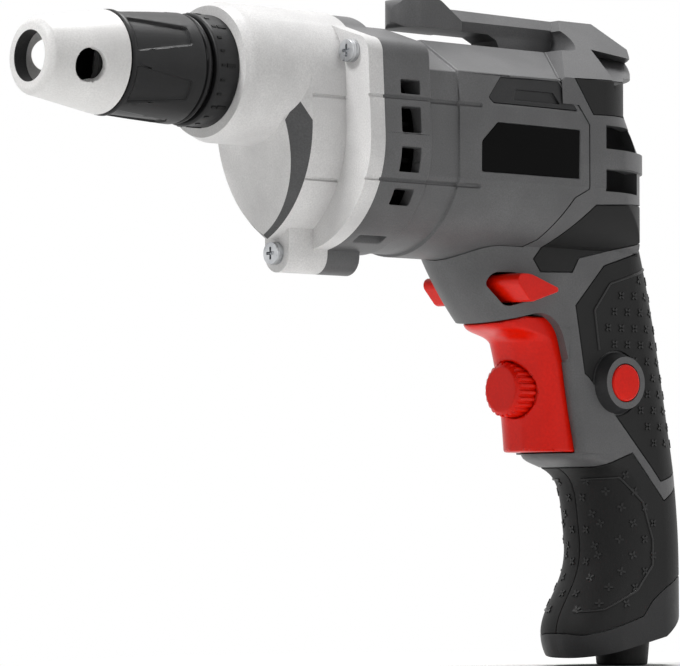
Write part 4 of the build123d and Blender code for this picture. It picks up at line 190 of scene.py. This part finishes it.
FINISH = {
    # Die casting under textured powder paint: almost white, with a sandy grain and a broad soft shine.
    "case_paint": moulded("powder_painted_casting", "#C0BFBF", "#E2E1E0", 0.46, 0.55, 0.05,
                          Specular_IOR_Level=0.35),
    # Glass-filled nylon, dyed black and moulded with a satin skin: greyish black, soft streaks of light.
    "collar_plastic": moulded("satin_nylon_black", "#151516", "#202021", 0.40, 0.5, 0.02,
                              Specular_IOR_Level=0.25),
    # Moulded polypropylene nose: white with a smooth satin skin.
    "nose_plastic": moulded("satin_polypropylene_white", "#C8C7C6", "#E4E3E2", 0.38, 0.6, 0.012,
                            Specular_IOR_Level=0.35),
    # Glass-filled nylon of the barrel and the handle: mid grey, spark-eroded fine grain, satin.
    "barrel_plastic": moulded("grained_nylon_grey", "#4C4C4D", "#656566", 0.44, 0.5, 0.035,
                              Specular_IOR_Level=0.4),
    # Plain moulded nylon of the inner pieces: black and dull.
    "black_plastic": moulded("plain_nylon_black", "#101010", "#1A1A1A", 0.55, 0.6, 0.02,
                             Specular_IOR_Level=0.25),
    # Polycarbonate film over black print: flat, deep and glossy.
    "label_film": moulded("gloss_polycarbonate_film", "#030303", "#080808", 0.20, 0.8, 0.003, ior=1.58,
                          Specular_IOR_Level=0.04),
    # Dyed acetal of the controls: saturated red, smooth, with clear highlights.
    "red_plastic": moulded("gloss_acetal_red", "#D01000", "#EA1A02", 0.30, 0.9, 0.006, ior=1.48,
                           Specular_IOR_Level=0.22),
    # Thermoplastic rubber moulded over the shells: near black, fine sandy grain, dull sheen.
    "grip_rubber": moulded("moulded_rubber_black", "#0F0F0F", "#1B1B1B", 0.55, 0.45, 0.05, ior=1.52,
                           Specular_IOR_Level=0.2, Sheen_Weight=0.02, Sheen_Roughness=0.5),
    # Nitrile rubber of the seals: black and matt.
    "seal_rubber": moulded("nitrile_rubber_black", "#121212", "#1C1C1C", 0.65, 0.5, 0.02),
    # Zinc-plated steel: bright, slightly blue grey, with fine turning marks.
    "steel": worked_metal("zinc_plated_steel", "#A9ABAE", "#D3D5D7", 0.30, 0.8, 0.004),
    # Oil-tempered spring wire: darker steel with fine drawing marks.
    "spring_steel": worked_metal("oil_tempered_wire", "#77787A", "#A2A3A5", 0.34, 0.5, 0.003),
    # Sintered bronze: warm yellow brown, slightly rough from its pores.
    "bronze": worked_metal("sintered_bronze", "#94662C", "#C09048", 0.42, 0.4, 0.008),
    # Cast aluminium of the bearing plate: pale grey, dull.
    "aluminium": worked_metal("cast_aluminium", "#A2A4A6", "#C6C8CA", 0.45, 0.9, 0.01),
    # Laminated electrical steel: half millimetre sheets, drawn twice as coarse so that they show.
    "lamination": banded("stacked_electrical_steel", "#2E2E31", "#707276", 0.42, 1.0, 1.0, "X"),
    # Enamelled copper wire: brown red turns of about a millimetre.
    "copper": banded("enamelled_copper_wire", "#4A1C0A", "#B9642F", 0.34, 1.0, 1.1, "Z"),
    # Pressed carbon of the brushes: black grey with a faint graphite shine.
    "carbon": moulded("pressed_carbon", "#1C1C1E", "#303033", 0.50, 0.4, 0.02),
}
# Paint left darker on the sides of the prow: the same grain, mid to dark grey.
PROW_SIDE = moulded("powder_painted_casting_dark", "#414142", "#5A5A5B", 0.46, 0.55, 0.05,
                    Specular_IOR_Level=0.35)
# The same nylon as the barrel in black, at the toe, round the lock button and on the trims.
DARK_NYLON = moulded("grained_nylon_black", "#222223", "#313132", 0.44, 0.5, 0.035, Specular_IOR_Level=0.25)
# Painted shade inside the nose's bore: the white bore is coloured dark grey where it lies deep in shade.
SHADED_BORE = moulded("worn_polypropylene_grey", "#2B2B2B", "#3C3C3C", 0.60, 0.6, 0.02, Specular_IOR_Level=0.2)
# Raised crosses and beads on the rubber: blacker and smoother than the rubber round them.
CROSS_RUBBER = moulded("polished_rubber_black", "#060606", "#0C0C0C", 0.40, 0.5, 0.01, Specular_IOR_Level=0.4)
# Fine marks on the index ring, in gloss black.
TICK_INK = moulded("gloss_nylon_black", "#040404", "#080808", 0.30, 0.6, 0.005, Specular_IOR_Level=0.2)


# Dressed copies of the solids that show

MERGE_MM = 0.002
FLAT_ANGLE = math.radians(0.2)
ROUNDED_ANGLE = math.radians(35)
SHARP_ANGLE = math.radians(32)
BOX_SLACK_MM = 0.02
VOLUME_SLACK = 0.03
# Shares of its width that an edge is tried at, the widest first
EDGE_SHARES = (1.0, 0.5, 0.25)
# Widths of the rounded edges in millimetres. A hair's width only evens the shading, on pieces where wider
# edges would run into openings and fine steps.
EDGES_MM = {
    "nose_piece": 0.5, "depth_collar": 0.6, "index_ring": 0.4, "gear_case": 0.02, "gear_case_screws": 0.2,
    "motor_housing": 0.5, "side_trims": 0.3, "side_labels": 0.15, "handle_shell_left": 0.02,
    "handle_shell_right": 0.02, "upper_bumpers": 0.02, "lower_bumpers": 0.4, "palm_pad_left": 0.35,
    "palm_pad_right": 0.35, "finger_pad_left": 0.35, "finger_pad_right": 0.35, "handle_screws": 0.15,
    "trigger": 0.8, "speed_dial": 0.25, "reversing_lever": 0.6, "lock_button": 0.2, "cable_gland": 0.6,
}
# Pieces with openings or fine steps in flat faces, whose triangles aren't merged into single faces
PIERCED = ("gear_case", "motor_housing", "side_trims", "handle_shell_left", "handle_shell_right",
           "upper_bumpers")
# The prow's middle crease is too slight to be found by its angle: it runs in front of and below these lines
CREASE_BACK = 50
CREASE_TOP = -14
CREASE_SLACK = 0.05


def plain_mesh(host):
    """The plain mesh that an object's modifiers make. The object itself is removed."""
    mesh = bpy.data.meshes.new_from_object(host.evaluated_get(bpy.context.evaluated_depsgraph_get()))
    bpy.data.objects.remove(host)
    return mesh


def modified(mesh, kind, **settings):
    """A plain copy of a mesh after one modifier."""
    host = placed(mesh.name, mesh)
    step = host.modifiers.new("step", kind)
    for name, value in settings.items():
        setattr(step, name, value)
    return plain_mesh(host)


def volume_of(mesh):
    """The volume that a closed mesh holds."""
    shape = bmesh.new()
    shape.from_mesh(mesh)
    volume = shape.calc_volume()
    shape.free()
    return volume


def softened(source, edge_mm, name):
    """A merged copy of a solid's mesh with rounded edges, or plain ones where rounding would spoil it."""
    shape = bmesh.new()
    shape.from_mesh(source.data)
    bmesh.ops.remove_doubles(shape, verts=shape.verts, dist=MERGE_MM * MM)
    if source["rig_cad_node"] not in PIERCED:
        bmesh.ops.dissolve_limit(shape, angle_limit=FLAT_ANGLE, verts=shape.verts, edges=shape.edges)
    plain = bpy.data.meshes.new(name)
    shape.to_mesh(plain)
    shape.free()
    low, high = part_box(source["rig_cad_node"])
    for share in EDGE_SHARES:
        rounded = modified(plain, "BEVEL", width=edge_mm * share * MM, segments=2, limit_method="ANGLE",
                           angle_limit=ROUNDED_ANGLE, use_clamp_overlap=False, miter_outer="MITER_ARC")
        past_box = max(max(low[i] - v.co[i], v.co[i] - high[i]) for v in rounded.vertices for i in range(3))
        change = volume_of(rounded) / volume_of(plain) - 1
        if past_box < BOX_SLACK_MM * MM and abs(change) < VOLUME_SLACK:
            return rounded
    return plain


def on_prow_crease(end):
    """True for an edge's end on the prow's middle crease."""
    return end.x < CREASE_BACK and end.z < CREASE_TOP and abs(end.y) < CREASE_SLACK


def dressed(node, edge_mm):
    """The finished piece that stands for one solid, flat between its rounded edges."""
    source = NODES[node]
    mesh = softened(source, edge_mm, node + "_finished")
    mesh.shade_smooth()
    mesh.set_sharp_from_angle(angle=SHARP_ANGLE)
    if node == "gear_case":
        for edge in mesh.edges:
            if all(on_prow_crease(mesh.vertices[i].co / MM) for i in edge.vertices):
                edge.use_edge_sharp = True
    mesh = modified(mesh, "WEIGHTED_NORMAL", keep_sharp=True)
    mesh.materials.clear()
    mesh.materials.append(FINISH[SLOT_OF[node]])
    piece = placed(node + "_finished", mesh)
    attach(piece, source["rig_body"])
    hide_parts(node)
    return piece


finished = {node: dressed(node, edge_mm) for node, edge_mm in EDGES_MM.items()}
for node, solid in NODES.items():
    if node not in finished:
        for held in solid.material_slots:
            held.material = FINISH[SLOT_OF[node]]


# Second finishes, by a face's centre in millimetres and the way it looks

# Sides of the prow: outside the case's neck, on faces that look partly forward
PROW_FRONT = 38.0
PROW_BACK = 48.5
PROW_TOP = -12.0
NECK_RADIUS = 23.2
PROW_LEAST_FORWARD = 0.3
PROW_MOST_FORWARD = 0.85
# Bore of the nose: faces that look inwards
BORE_RADIUS = 8.4
BORE_INWARD = 0.5
# Lower edge of the finger pads, as (x, z): the toe below it is black
TOE_LINE = [(150, -179), (161, -179.7), (178.7, -184.2), (201.2, -177.6), (205.9, -172.1), (211.7, -168),
            (219.2, -164.3), (246, -161)]
# Sloping collar round the lock button
LOCK_CENTRE = (188.6, -97.2)
LOCK_FOOT_RADIUS = 10.8
LOCK_FOOT_Y = -17.65
LOCK_LEAST_SIDEWAYS = 0.05
LOCK_MOST_SIDEWAYS = 0.95


def second_finish(piece, finish, where):
    """Gives another finish to the faces that where(centre, normal) picks."""
    piece.data.materials.append(finish)
    for face in piece.data.polygons:
        if where(face.center / MM, face.normal):
            face.material_index = len(piece.data.materials) - 1


def on_prow_side(at, out):
    """True for a face on the darker sides of the prow."""
    return (PROW_FRONT < at.x < PROW_BACK and at.z < PROW_TOP and math.hypot(at.y, at.z) > NECK_RADIUS
            and PROW_LEAST_FORWARD < -out.x < PROW_MOST_FORWARD)


def in_nose_bore(at, out):
    """True for a face inside the nose's bore."""
    radius = math.hypot(at.y, at.z)
    return radius < BORE_RADIUS and out.y * at.y + out.z * at.z < -BORE_INWARD * radius


def on_toe_or_lock_collar(at, out):
    """True for a shell's face under the toe's line, or on the slope round the lock button."""
    on_toe = any(x0 <= at.x < x1 and at.z < z0 + (z1 - z0) * (at.x - x0) / (x1 - x0)
                 for (x0, z0), (x1, z1) in zip(TOE_LINE, TOE_LINE[1:]))
    from_lock = math.hypot(at.x - LOCK_CENTRE[0], at.z - LOCK_CENTRE[1])
    return on_toe or (at.y < LOCK_FOOT_Y and LOCK_LEAST_SIDEWAYS < -out.y < LOCK_MOST_SIDEWAYS
                      and from_lock < LOCK_FOOT_RADIUS)


second_finish(finished["gear_case"], PROW_SIDE, on_prow_side)
# The faces inside the bore get the painted shade.
second_finish(finished["nose_piece"], SHADED_BORE, in_nose_bore)
for side in ("left", "right"):
    second_finish(finished["handle_shell_" + side], DARK_NYLON, on_toe_or_lock_collar)
second_finish(finished["side_trims"], DARK_NYLON, lambda at, out: True)


# Geometry trees


def tree_with(name, sockets):
    """A new geometry tree with named inputs, and the sockets that give them."""
    tree = bpy.data.node_groups.new(name, "GeometryNodeTree")
    for title, kind in sockets:
        tree.interface.new_socket(title, in_out="INPUT", socket_type="NodeSocket" + kind)
    tree.interface.new_socket("Geometry", in_out="OUTPUT", socket_type="NodeSocketGeometry")
    return tree, put(tree, "NodeGroupInput").outputs


def landing(tree, target, throw):
    """Where rays from the points along one direction meet an object."""
    met = put(tree, "GeometryNodeObjectInfo", {"Object": target}, transform_space="RELATIVE")
    rays = put(tree, "GeometryNodeRaycast", {
        "Target Geometry": met.outputs["Geometry"], "Ray Direction": throw, "Ray Length": 1.0,
    })
    return rays.outputs


def end_tree(tree, geometry, finish):
    """Ends a tree in real geometry with one finish."""
    real = put(tree, "GeometryNodeRealizeInstances", {"Geometry": geometry})
    coated = put(tree, "GeometryNodeSetMaterial", {"Geometry": real.outputs[0], "Material": finish})
    put(tree, "NodeGroupOutput", {"Geometry": coated.outputs[0]})


def grown(tree, values):
    """The plain mesh that a geometry tree makes from these values."""
    host = placed(tree.name, bpy.data.meshes.new(tree.name))
    grow = host.modifiers.new("grow", "NODES")
    grow.node_group = tree
    for item in tree.interface.items_tree:
        if item.in_out == "INPUT":
            grow[item.identifier] = values[item.name]
    return plain_mesh(host)


def gathered(name, meshes, finish, body):
    """One piece on one body from several grown meshes, in one finish."""
    shape = bmesh.new()
    for mesh in meshes:
        shape.from_mesh(mesh)
    for face in shape.faces:
        face.material_index = 0
    whole = bpy.data.meshes.new(name)
    shape.to_mesh(whole)
    shape.free()
    whole.materials.append(finish)
    piece = placed(name, whole)
    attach(piece, body)
    return piece


def guide(name, corners, closed):
    """A helper object over corners in millimetres: a flat sheet when closed, and a line when open."""
    mesh = bpy.data.meshes.new(name)
    count = len(corners)
    faces = [list(range(count))] if closed else []
    edges = [] if closed else [(i, i + 1) for i in range(count - 1)]
    mesh.from_pydata([Vector(c) * MM for c in corners], edges, faces)
    return placed(name, mesh)


# Crosses in the rubber

# Side outlines of the textured zones inside the pads, as (x, z) in millimetres
PALM_ZONE = [(199.5, -58), (224, -52), (228, -112), (212, -124), (206, -119), (187, -98), (182.5, -82),
             (187.5, -70)]
FINGER_ZONE = [(186, -129), (196, -126.5), (203, -134), (208, -144), (208, -154), (201, -166), (192, -176),
               (172, -178), (172, -150)]
# Front zone of the finger pads, as (y, z)
FRONT_ZONE = [(-9.5, -129), (9.5, -129), (9.5, -177), (-9.5, -177)]
# Distances between the crosses of a row, and between rows
PALM_PITCH = (5.8, 5.4)
FINGER_PITCH = (8, 5.3)
FRONT_PITCH = (6.4, 5.3)
CROSS_COLUMNS = 15
CROSS_ROWS = 25
CROSS_ARM = 3.0
CROSS_STROKE = 0.7
CROSS_RELIEF = 0.6
# Where crosses and beads are thrown from, in millimetres: from each side, and from the front
THROW_START = 60.0
FRONT_START = 100
# How far the sheet of crosses stands behind its zone's outline
SHEET_BACK = 5
SIDE_TURN = (math.pi / 2, 0, 0)
FRONT_TURN = (math.pi / 2, 0, math.pi / 2)
SIDES = (("left", 1), ("right", -1))


def cross_tree(name, upright_turn):
    """Crosses in staggered rows on an upright sheet, thrown onto a pad where they pass through its zone."""
    tree, given = tree_with(name, [
        ("Zone", "Object"), ("Pad", "Object"), ("Columns", "Int"), ("Rows", "Int"), ("Spacing", "Float"),
        ("Row Pitch", "Float"), ("Centre", "Vector"), ("Throw", "Vector"), ("Arm", "Float"),
        ("Stroke", "Float"), ("Relief", "Float"), ("Rubber", "Material"),
    ])
    wide = put(tree, "ShaderNodeMath", {0: given["Columns"], 1: given["Spacing"]}, operation="MULTIPLY")
    tall = put(tree, "ShaderNodeMath", {0: given["Rows"], 1: given["Row Pitch"]}, operation="MULTIPLY")
    grid = put(tree, "GeometryNodeMeshGrid", {
        "Size X": wide.outputs[0], "Size Y": tall.outputs[0],
        "Vertices X": given["Columns"], "Vertices Y": given["Rows"],
    })
    count = put(tree, "GeometryNodeInputIndex")
    row = put(tree, "ShaderNodeMath", {0: count.outputs[0], 1: given["Rows"]}, operation="MODULO")
    odd = put(tree, "ShaderNodeMath", {0: row.outputs[0], 1: 2.0}, operation="MODULO")
    whole_step = put(tree, "ShaderNodeMath", {0: odd.outputs[0], 1: given["Spacing"]}, operation="MULTIPLY")
    half_step = put(tree, "ShaderNodeMath", {0: whole_step.outputs[0], 1: 0.5}, operation="MULTIPLY")
    aside = put(tree, "ShaderNodeCombineXYZ", {"X": half_step.outputs[0]})
    staggered = put(tree, "GeometryNodeSetPosition", {
        "Geometry": grid.outputs["Mesh"], "Offset": aside.outputs[0],
    })
    upright = put(tree, "GeometryNodeTransform", {
        "Geometry": staggered.outputs[0], "Translation": given["Centre"], "Rotation": upright_turn,
    })
    in_zone = landing(tree, given["Zone"], given["Throw"])
    on_pad = landing(tree, given["Pad"], given["Throw"])
    misses = put(tree, "FunctionNodeBooleanMath", {0: in_zone["Is Hit"], 1: on_pad["Is Hit"]},
                 operation="NAND")
    kept = put(tree, "GeometryNodeDeleteGeometry", {
        "Geometry": upright.outputs[0], "Selection": misses.outputs[0],
    })
    facing = put(tree, "GeometryNodeCaptureAttribute")
    facing.capture_items.new("VECTOR", "Facing")
    tree.links.new(kept.outputs[0], facing.inputs["Geometry"])
    tree.links.new(on_pad["Hit Normal"], facing.inputs["Facing"])
    landed = put(tree, "GeometryNodeSetPosition", {
        "Geometry": facing.outputs["Geometry"], "Position": on_pad["Hit Position"],
    })
    bar_size = put(tree, "ShaderNodeCombineXYZ", {
        "X": given["Arm"], "Y": given["Stroke"], "Z": given["Relief"],
    })
    bar = put(tree, "GeometryNodeMeshCube", {"Size": bar_size.outputs[0]})
    arms = put(tree, "GeometryNodeJoinGeometry")
    for turn in (math.pi / 4, -math.pi / 4):
        arm = put(tree, "GeometryNodeTransform", {"Geometry": bar.outputs["Mesh"], "Rotation": (0, 0, turn)})
        tree.links.new(arm.outputs[0], arms.inputs[0])
    stand = put(tree, "FunctionNodeAlignRotationToVector", {"Vector": facing.outputs["Facing"]}, axis="Z")
    crosses = put(tree, "GeometryNodeInstanceOnPoints", {
        "Points": landed.outputs[0], "Instance": arms.outputs[0], "Rotation": stand.outputs[0],
    })
    end_tree(tree, crosses.outputs[0], given["Rubber"])
    return tree


side_crosses = cross_tree("side_crosses", SIDE_TURN)
front_crosses = cross_tree("front_crosses", FRONT_TURN)
cross_meshes = []


def add_crosses(tree, pad, corners, throw, pitch):
    """Throws one zone's crosses onto one pad."""
    sheet = guide(pad + "_zone", corners, closed=True)
    centre = sum((Vector(c) for c in corners), Vector()) / len(corners) - Vector(throw) * SHEET_BACK
    cross_meshes.append(grown(tree, {
        "Zone": sheet, "Pad": finished[pad], "Columns": CROSS_COLUMNS, "Rows": CROSS_ROWS,
        "Spacing": pitch[0] * MM, "Row Pitch": pitch[1] * MM, "Centre": centre * MM, "Throw": throw,
        "Arm": CROSS_ARM * MM, "Stroke": CROSS_STROKE * MM, "Relief": CROSS_RELIEF * MM,
        "Rubber": CROSS_RUBBER,
    }))
    bpy.data.objects.remove(sheet)


for side, towards in SIDES:
    start_y = -towards * THROW_START
    inwards = (0, towards, 0)
    palm_corners = [(x, start_y, z) for x, z in PALM_ZONE]
    finger_corners = [(x, start_y, z) for x, z in FINGER_ZONE]
    front_corners = [(FRONT_START, y, z) for y, z in FRONT_ZONE]
    add_crosses(side_crosses, "palm_pad_" + side, palm_corners, inwards, PALM_PITCH)
    add_crosses(side_crosses, "finger_pad_" + side, finger_corners, inwards, FINGER_PITCH)
    add_crosses(front_crosses, "finger_pad_" + side, front_corners, (1, 0, 0), FRONT_PITCH)
gathered("rubber_crosses", cross_meshes, CROSS_RUBBER, "housing")


# Beads round the textured zones

# Courses of the beads on the pads' sides, as (x, z) in millimetres
PALM_BORDER = [(212, -55.3), (200.4, -58.6), (185.5, -63.0), (178.1, -72.3), (180.2, -86)]
FINGER_BORDER = [(171, -131), (180, -130.3), (191.2, -129.6), (200.7, -138.1), (205.4, -151.1),
                 (205.4, -159.7), (198.1, -168.3), (185, -175.1), (174, -176.5)]
BEAD_RADIUS = 0.45
BEAD_STEP = 0.8
BEAD_CORNERS = 10


def border_tree():
    """A bead along a drawn line, thrown onto a pad."""
    tree, given = tree_with("pad_borders", [
        ("Line", "Object"), ("Pad", "Object"), ("Throw", "Vector"), ("Step", "Float"),
        ("Bead Radius", "Float"), ("Rubber", "Material"),
    ])
    line = put(tree, "GeometryNodeObjectInfo", {"Object": given["Line"]}, transform_space="RELATIVE")
    course = put(tree, "GeometryNodeMeshToCurve", {"Mesh": line.outputs["Geometry"]})
    fine = put(tree, "GeometryNodeResampleCurve", {"Curve": course.outputs[0], "Length": given["Step"]},
               mode="LENGTH")
    on_pad = landing(tree, given["Pad"], given["Throw"])
    misses = put(tree, "FunctionNodeBooleanMath", {0: on_pad["Is Hit"]}, operation="NOT")
    kept = put(tree, "GeometryNodeDeleteGeometry", {
        "Geometry": fine.outputs[0], "Selection": misses.outputs[0],
    })
    landed = put(tree, "GeometryNodeSetPosition", {
        "Geometry": kept.outputs[0], "Position": on_pad["Hit Position"],
    })
    ring = put(tree, "GeometryNodeCurvePrimitiveCircle", {
        "Resolution": BEAD_CORNERS, "Radius": given["Bead Radius"],
    })
    bead = put(tree, "GeometryNodeCurveToMesh", {
        "Curve": landed.outputs[0], "Profile Curve": ring.outputs["Curve"], "Fill Caps": True,
    })
    end_tree(tree, bead.outputs[0], given["Rubber"])
    return tree


borders = border_tree()
border_meshes = []
for pad, course in (("palm_pad", PALM_BORDER), ("finger_pad", FINGER_BORDER)):
    for side, towards in SIDES:
        line = guide(pad + "_border", [(x, -towards * THROW_START, z) for x, z in course], closed=False)
        border_meshes.append(grown(borders, {
            "Line": line, "Pad": finished[f"{pad}_{side}"], "Throw": (0, towards, 0), "Step": BEAD_STEP * MM,
            "Bead Radius": BEAD_RADIUS * MM, "Rubber": CROSS_RUBBER,
        }))
        bpy.data.objects.remove(line)
border_piece = gathered("pad_borders", border_meshes, CROSS_RUBBER, "housing")
border_piece.data.shade_smooth()


# Marks round the index ring

# Rows of marks: their count, their place along the ring from 0 to 1, their length and their width
TICK_ROWS = ((24, 0.28, 1.6, 0.8), (8, 0.62, 3.4, 1.2))
TICK_RELIEF = 0.5


def tick_tree():
    """Short raised bars round the X axis."""
    tree, given = tree_with("ring_ticks", [
        ("Count", "Int"), ("Radius", "Float"), ("Place", "Vector"), ("Length", "Float"), ("Width", "Float"),
        ("Relief", "Float"), ("Ink", "Material"),
    ])
    ring = put(tree, "GeometryNodeMeshCircle", {"Vertices": given["Count"], "Radius": given["Radius"]})
    across = put(tree, "GeometryNodeTransform", {
        "Geometry": ring.outputs[0], "Rotation": (0, math.pi / 2, 0),
    })
    spot = put(tree, "GeometryNodeInputPosition")
    size = put(tree, "ShaderNodeCombineXYZ", {
        "X": given["Length"], "Y": given["Width"], "Z": given["Relief"],
    })
    bar = put(tree, "GeometryNodeMeshCube", {"Size": size.outputs[0]})
    stand = put(tree, "FunctionNodeAlignRotationToVector", {"Vector": spot.outputs[0]}, axis="Z")
    bars = put(tree, "GeometryNodeInstanceOnPoints", {
        "Points": across.outputs[0], "Instance": bar.outputs["Mesh"], "Rotation": stand.outputs[0],
    })
    moved = put(tree, "GeometryNodeTransform", {"Geometry": bars.outputs[0], "Translation": given["Place"]})
    end_tree(tree, moved.outputs[0], given["Ink"])
    return tree


ring_low, ring_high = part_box("index_ring")
ticks = tick_tree()
tick_meshes = []
for count, share, length, width in TICK_ROWS:
    tick_x = ring_low.x + share * (ring_high.x - ring_low.x)
    tick_meshes.append(grown(ticks, {
        "Count": count, "Radius": ring_high.z, "Place": (tick_x, 0, 0), "Length": length * MM,
        "Width": width * MM, "Relief": TICK_RELIEF * MM, "Ink": TICK_INK,
    }))
gathered("ring_ticks", tick_meshes, TICK_INK, "housing")


# Studio: pale floor, soft light, white surroundings

WHITE = (1, 1, 1, 1)
SKY_LIGHT = 0.2
# Floor and lights, in metres and watts
FLOOR_HALF = 1.5
FLOOR_DROP = 0.0002
SHADOW_CENTRE = (0.19, 0.0)
SHADOW_INNER = 0.03
SHADOW_OUTER = 0.2
LIT_POINT = Vector((0.09, 0.0, -0.08))


def seen_directly(tree):
    """1 on rays that show the background, straight, in a gloss or through a clear piece, and 0 on others."""
    rays = put(tree, "ShaderNodeLightPath").outputs
    plain = put(tree, "ShaderNodeMath", {0: rays["Is Camera Ray"], 1: rays["Is Glossy Ray"]},
                operation="MAXIMUM")
    every = put(tree, "ShaderNodeMath", {0: plain.outputs[0], 1: rays["Is Transmission Ray"]},
                operation="MAXIMUM")
    return every.outputs[0]


def softbox(name, place, watts, size):
    """A square soft light aimed at the middle of the tool."""
    lamp = bpy.data.lights.new(name, "AREA")
    lamp.energy = watts
    lamp.size = size
    lit = placed(name, lamp)
    lit.location = place
    lit.rotation_euler = (LIT_POINT - Vector(place)).to_track_quat("-Z", "Y").to_euler()


scene.view_settings.view_transform = "Standard"

floor_z = cad_box[0].z - FLOOR_DROP
floor_mesh = bpy.data.meshes.new("floor")
floor_corners = [(x * FLOOR_HALF, y * FLOOR_HALF, floor_z) for x, y in ((-1, -1), (1, -1), (1, 1), (-1, 1))]
floor_mesh.from_pydata(floor_corners, [], [(0, 1, 2, 3)])
floor = placed("floor", floor_mesh)
# Seamless white paper: pale and matt where the tool stands, and as white as the surroundings further off.
paper = bpy.data.materials.new("white_paper")
paper.use_nodes = True
tree = paper.node_tree
tree.nodes.clear()
place = put(tree, "ShaderNodeTexCoord").outputs["Object"]
from_tool = put(tree, "ShaderNodeVectorMath", {0: place, 1: (*SHADOW_CENTRE, floor_z)}, operation="DISTANCE")
far = put(tree, "ShaderNodeMapRange", {
    "Value": from_tool.outputs["Value"], "From Min": SHADOW_INNER, "From Max": SHADOW_OUTER,
})
white = put(tree, "ShaderNodeMath", {0: seen_directly(tree), 1: far.outputs["Result"]}, operation="MULTIPLY")
matt = put(tree, "ShaderNodeBsdfDiffuse", {"Color": linear("#F6F6F5")})
glow = put(tree, "ShaderNodeEmission", {"Color": WHITE, "Strength": 1.0})
mixed = put(tree, "ShaderNodeMixShader", {0: white.outputs[0], 1: matt.outputs[0], 2: glow.outputs[0]})
put(tree, "ShaderNodeOutputMaterial", {"Surface": mixed.outputs[0]})
floor_mesh.materials.append(paper)

scene.world = bpy.data.worlds.new("studio")
scene.world.use_nodes = True
tree = scene.world.node_tree
tree.nodes.clear()
soft = put(tree, "ShaderNodeBackground", {"Color": WHITE, "Strength": SKY_LIGHT})
plain_white = put(tree, "ShaderNodeBackground", {"Color": WHITE, "Strength": 1.0})
mixed = put(tree, "ShaderNodeMixShader", {
    0: seen_directly(tree), 1: soft.outputs[0], 2: plain_white.outputs[0],
})
put(tree, "ShaderNodeOutputWorld", {"Surface": mixed.outputs[0]})

softbox("key_light", place=(-1.2, 0.1, 1.15), watts=20.0, size=0.5)
softbox("fill_light", place=(0.4, -1.6, 0.5), watts=3.0, size=0.8)
softbox("top_light", place=(0.4, 0.1, 1.3), watts=17.0, size=0.6)


# Camera at the photograph's viewing angle, slightly below the tool and to the left of its nose

VIEW_TURN = math.radians(-40.0)
VIEW_RISE = math.radians(-2.9)
VIEW_PLACE = (-0.8136, -1.0637, -0.1531)
VIEW_FOCUS_PX = 4200
PICTURE_WIDTH_PX = 680
SENSOR_WIDTH = 36.0
back = Vector((math.sin(VIEW_TURN) * math.cos(VIEW_RISE), -math.cos(VIEW_TURN) * math.cos(VIEW_RISE),
               math.sin(VIEW_RISE)))
right = Vector((math.cos(VIEW_TURN), math.sin(VIEW_TURN), 0.0))
up = back.cross(right)
lens = bpy.data.cameras.new("camera")
lens.sensor_fit = "HORIZONTAL"
lens.sensor_width = SENSOR_WIDTH
lens.lens = VIEW_FOCUS_PX * SENSOR_WIDTH / PICTURE_WIDTH_PX
camera = placed("camera", lens)
camera.matrix_world = Matrix.Translation(VIEW_PLACE) @ Matrix((right, up, back)).transposed().to_4x4()
scene.camera = camera
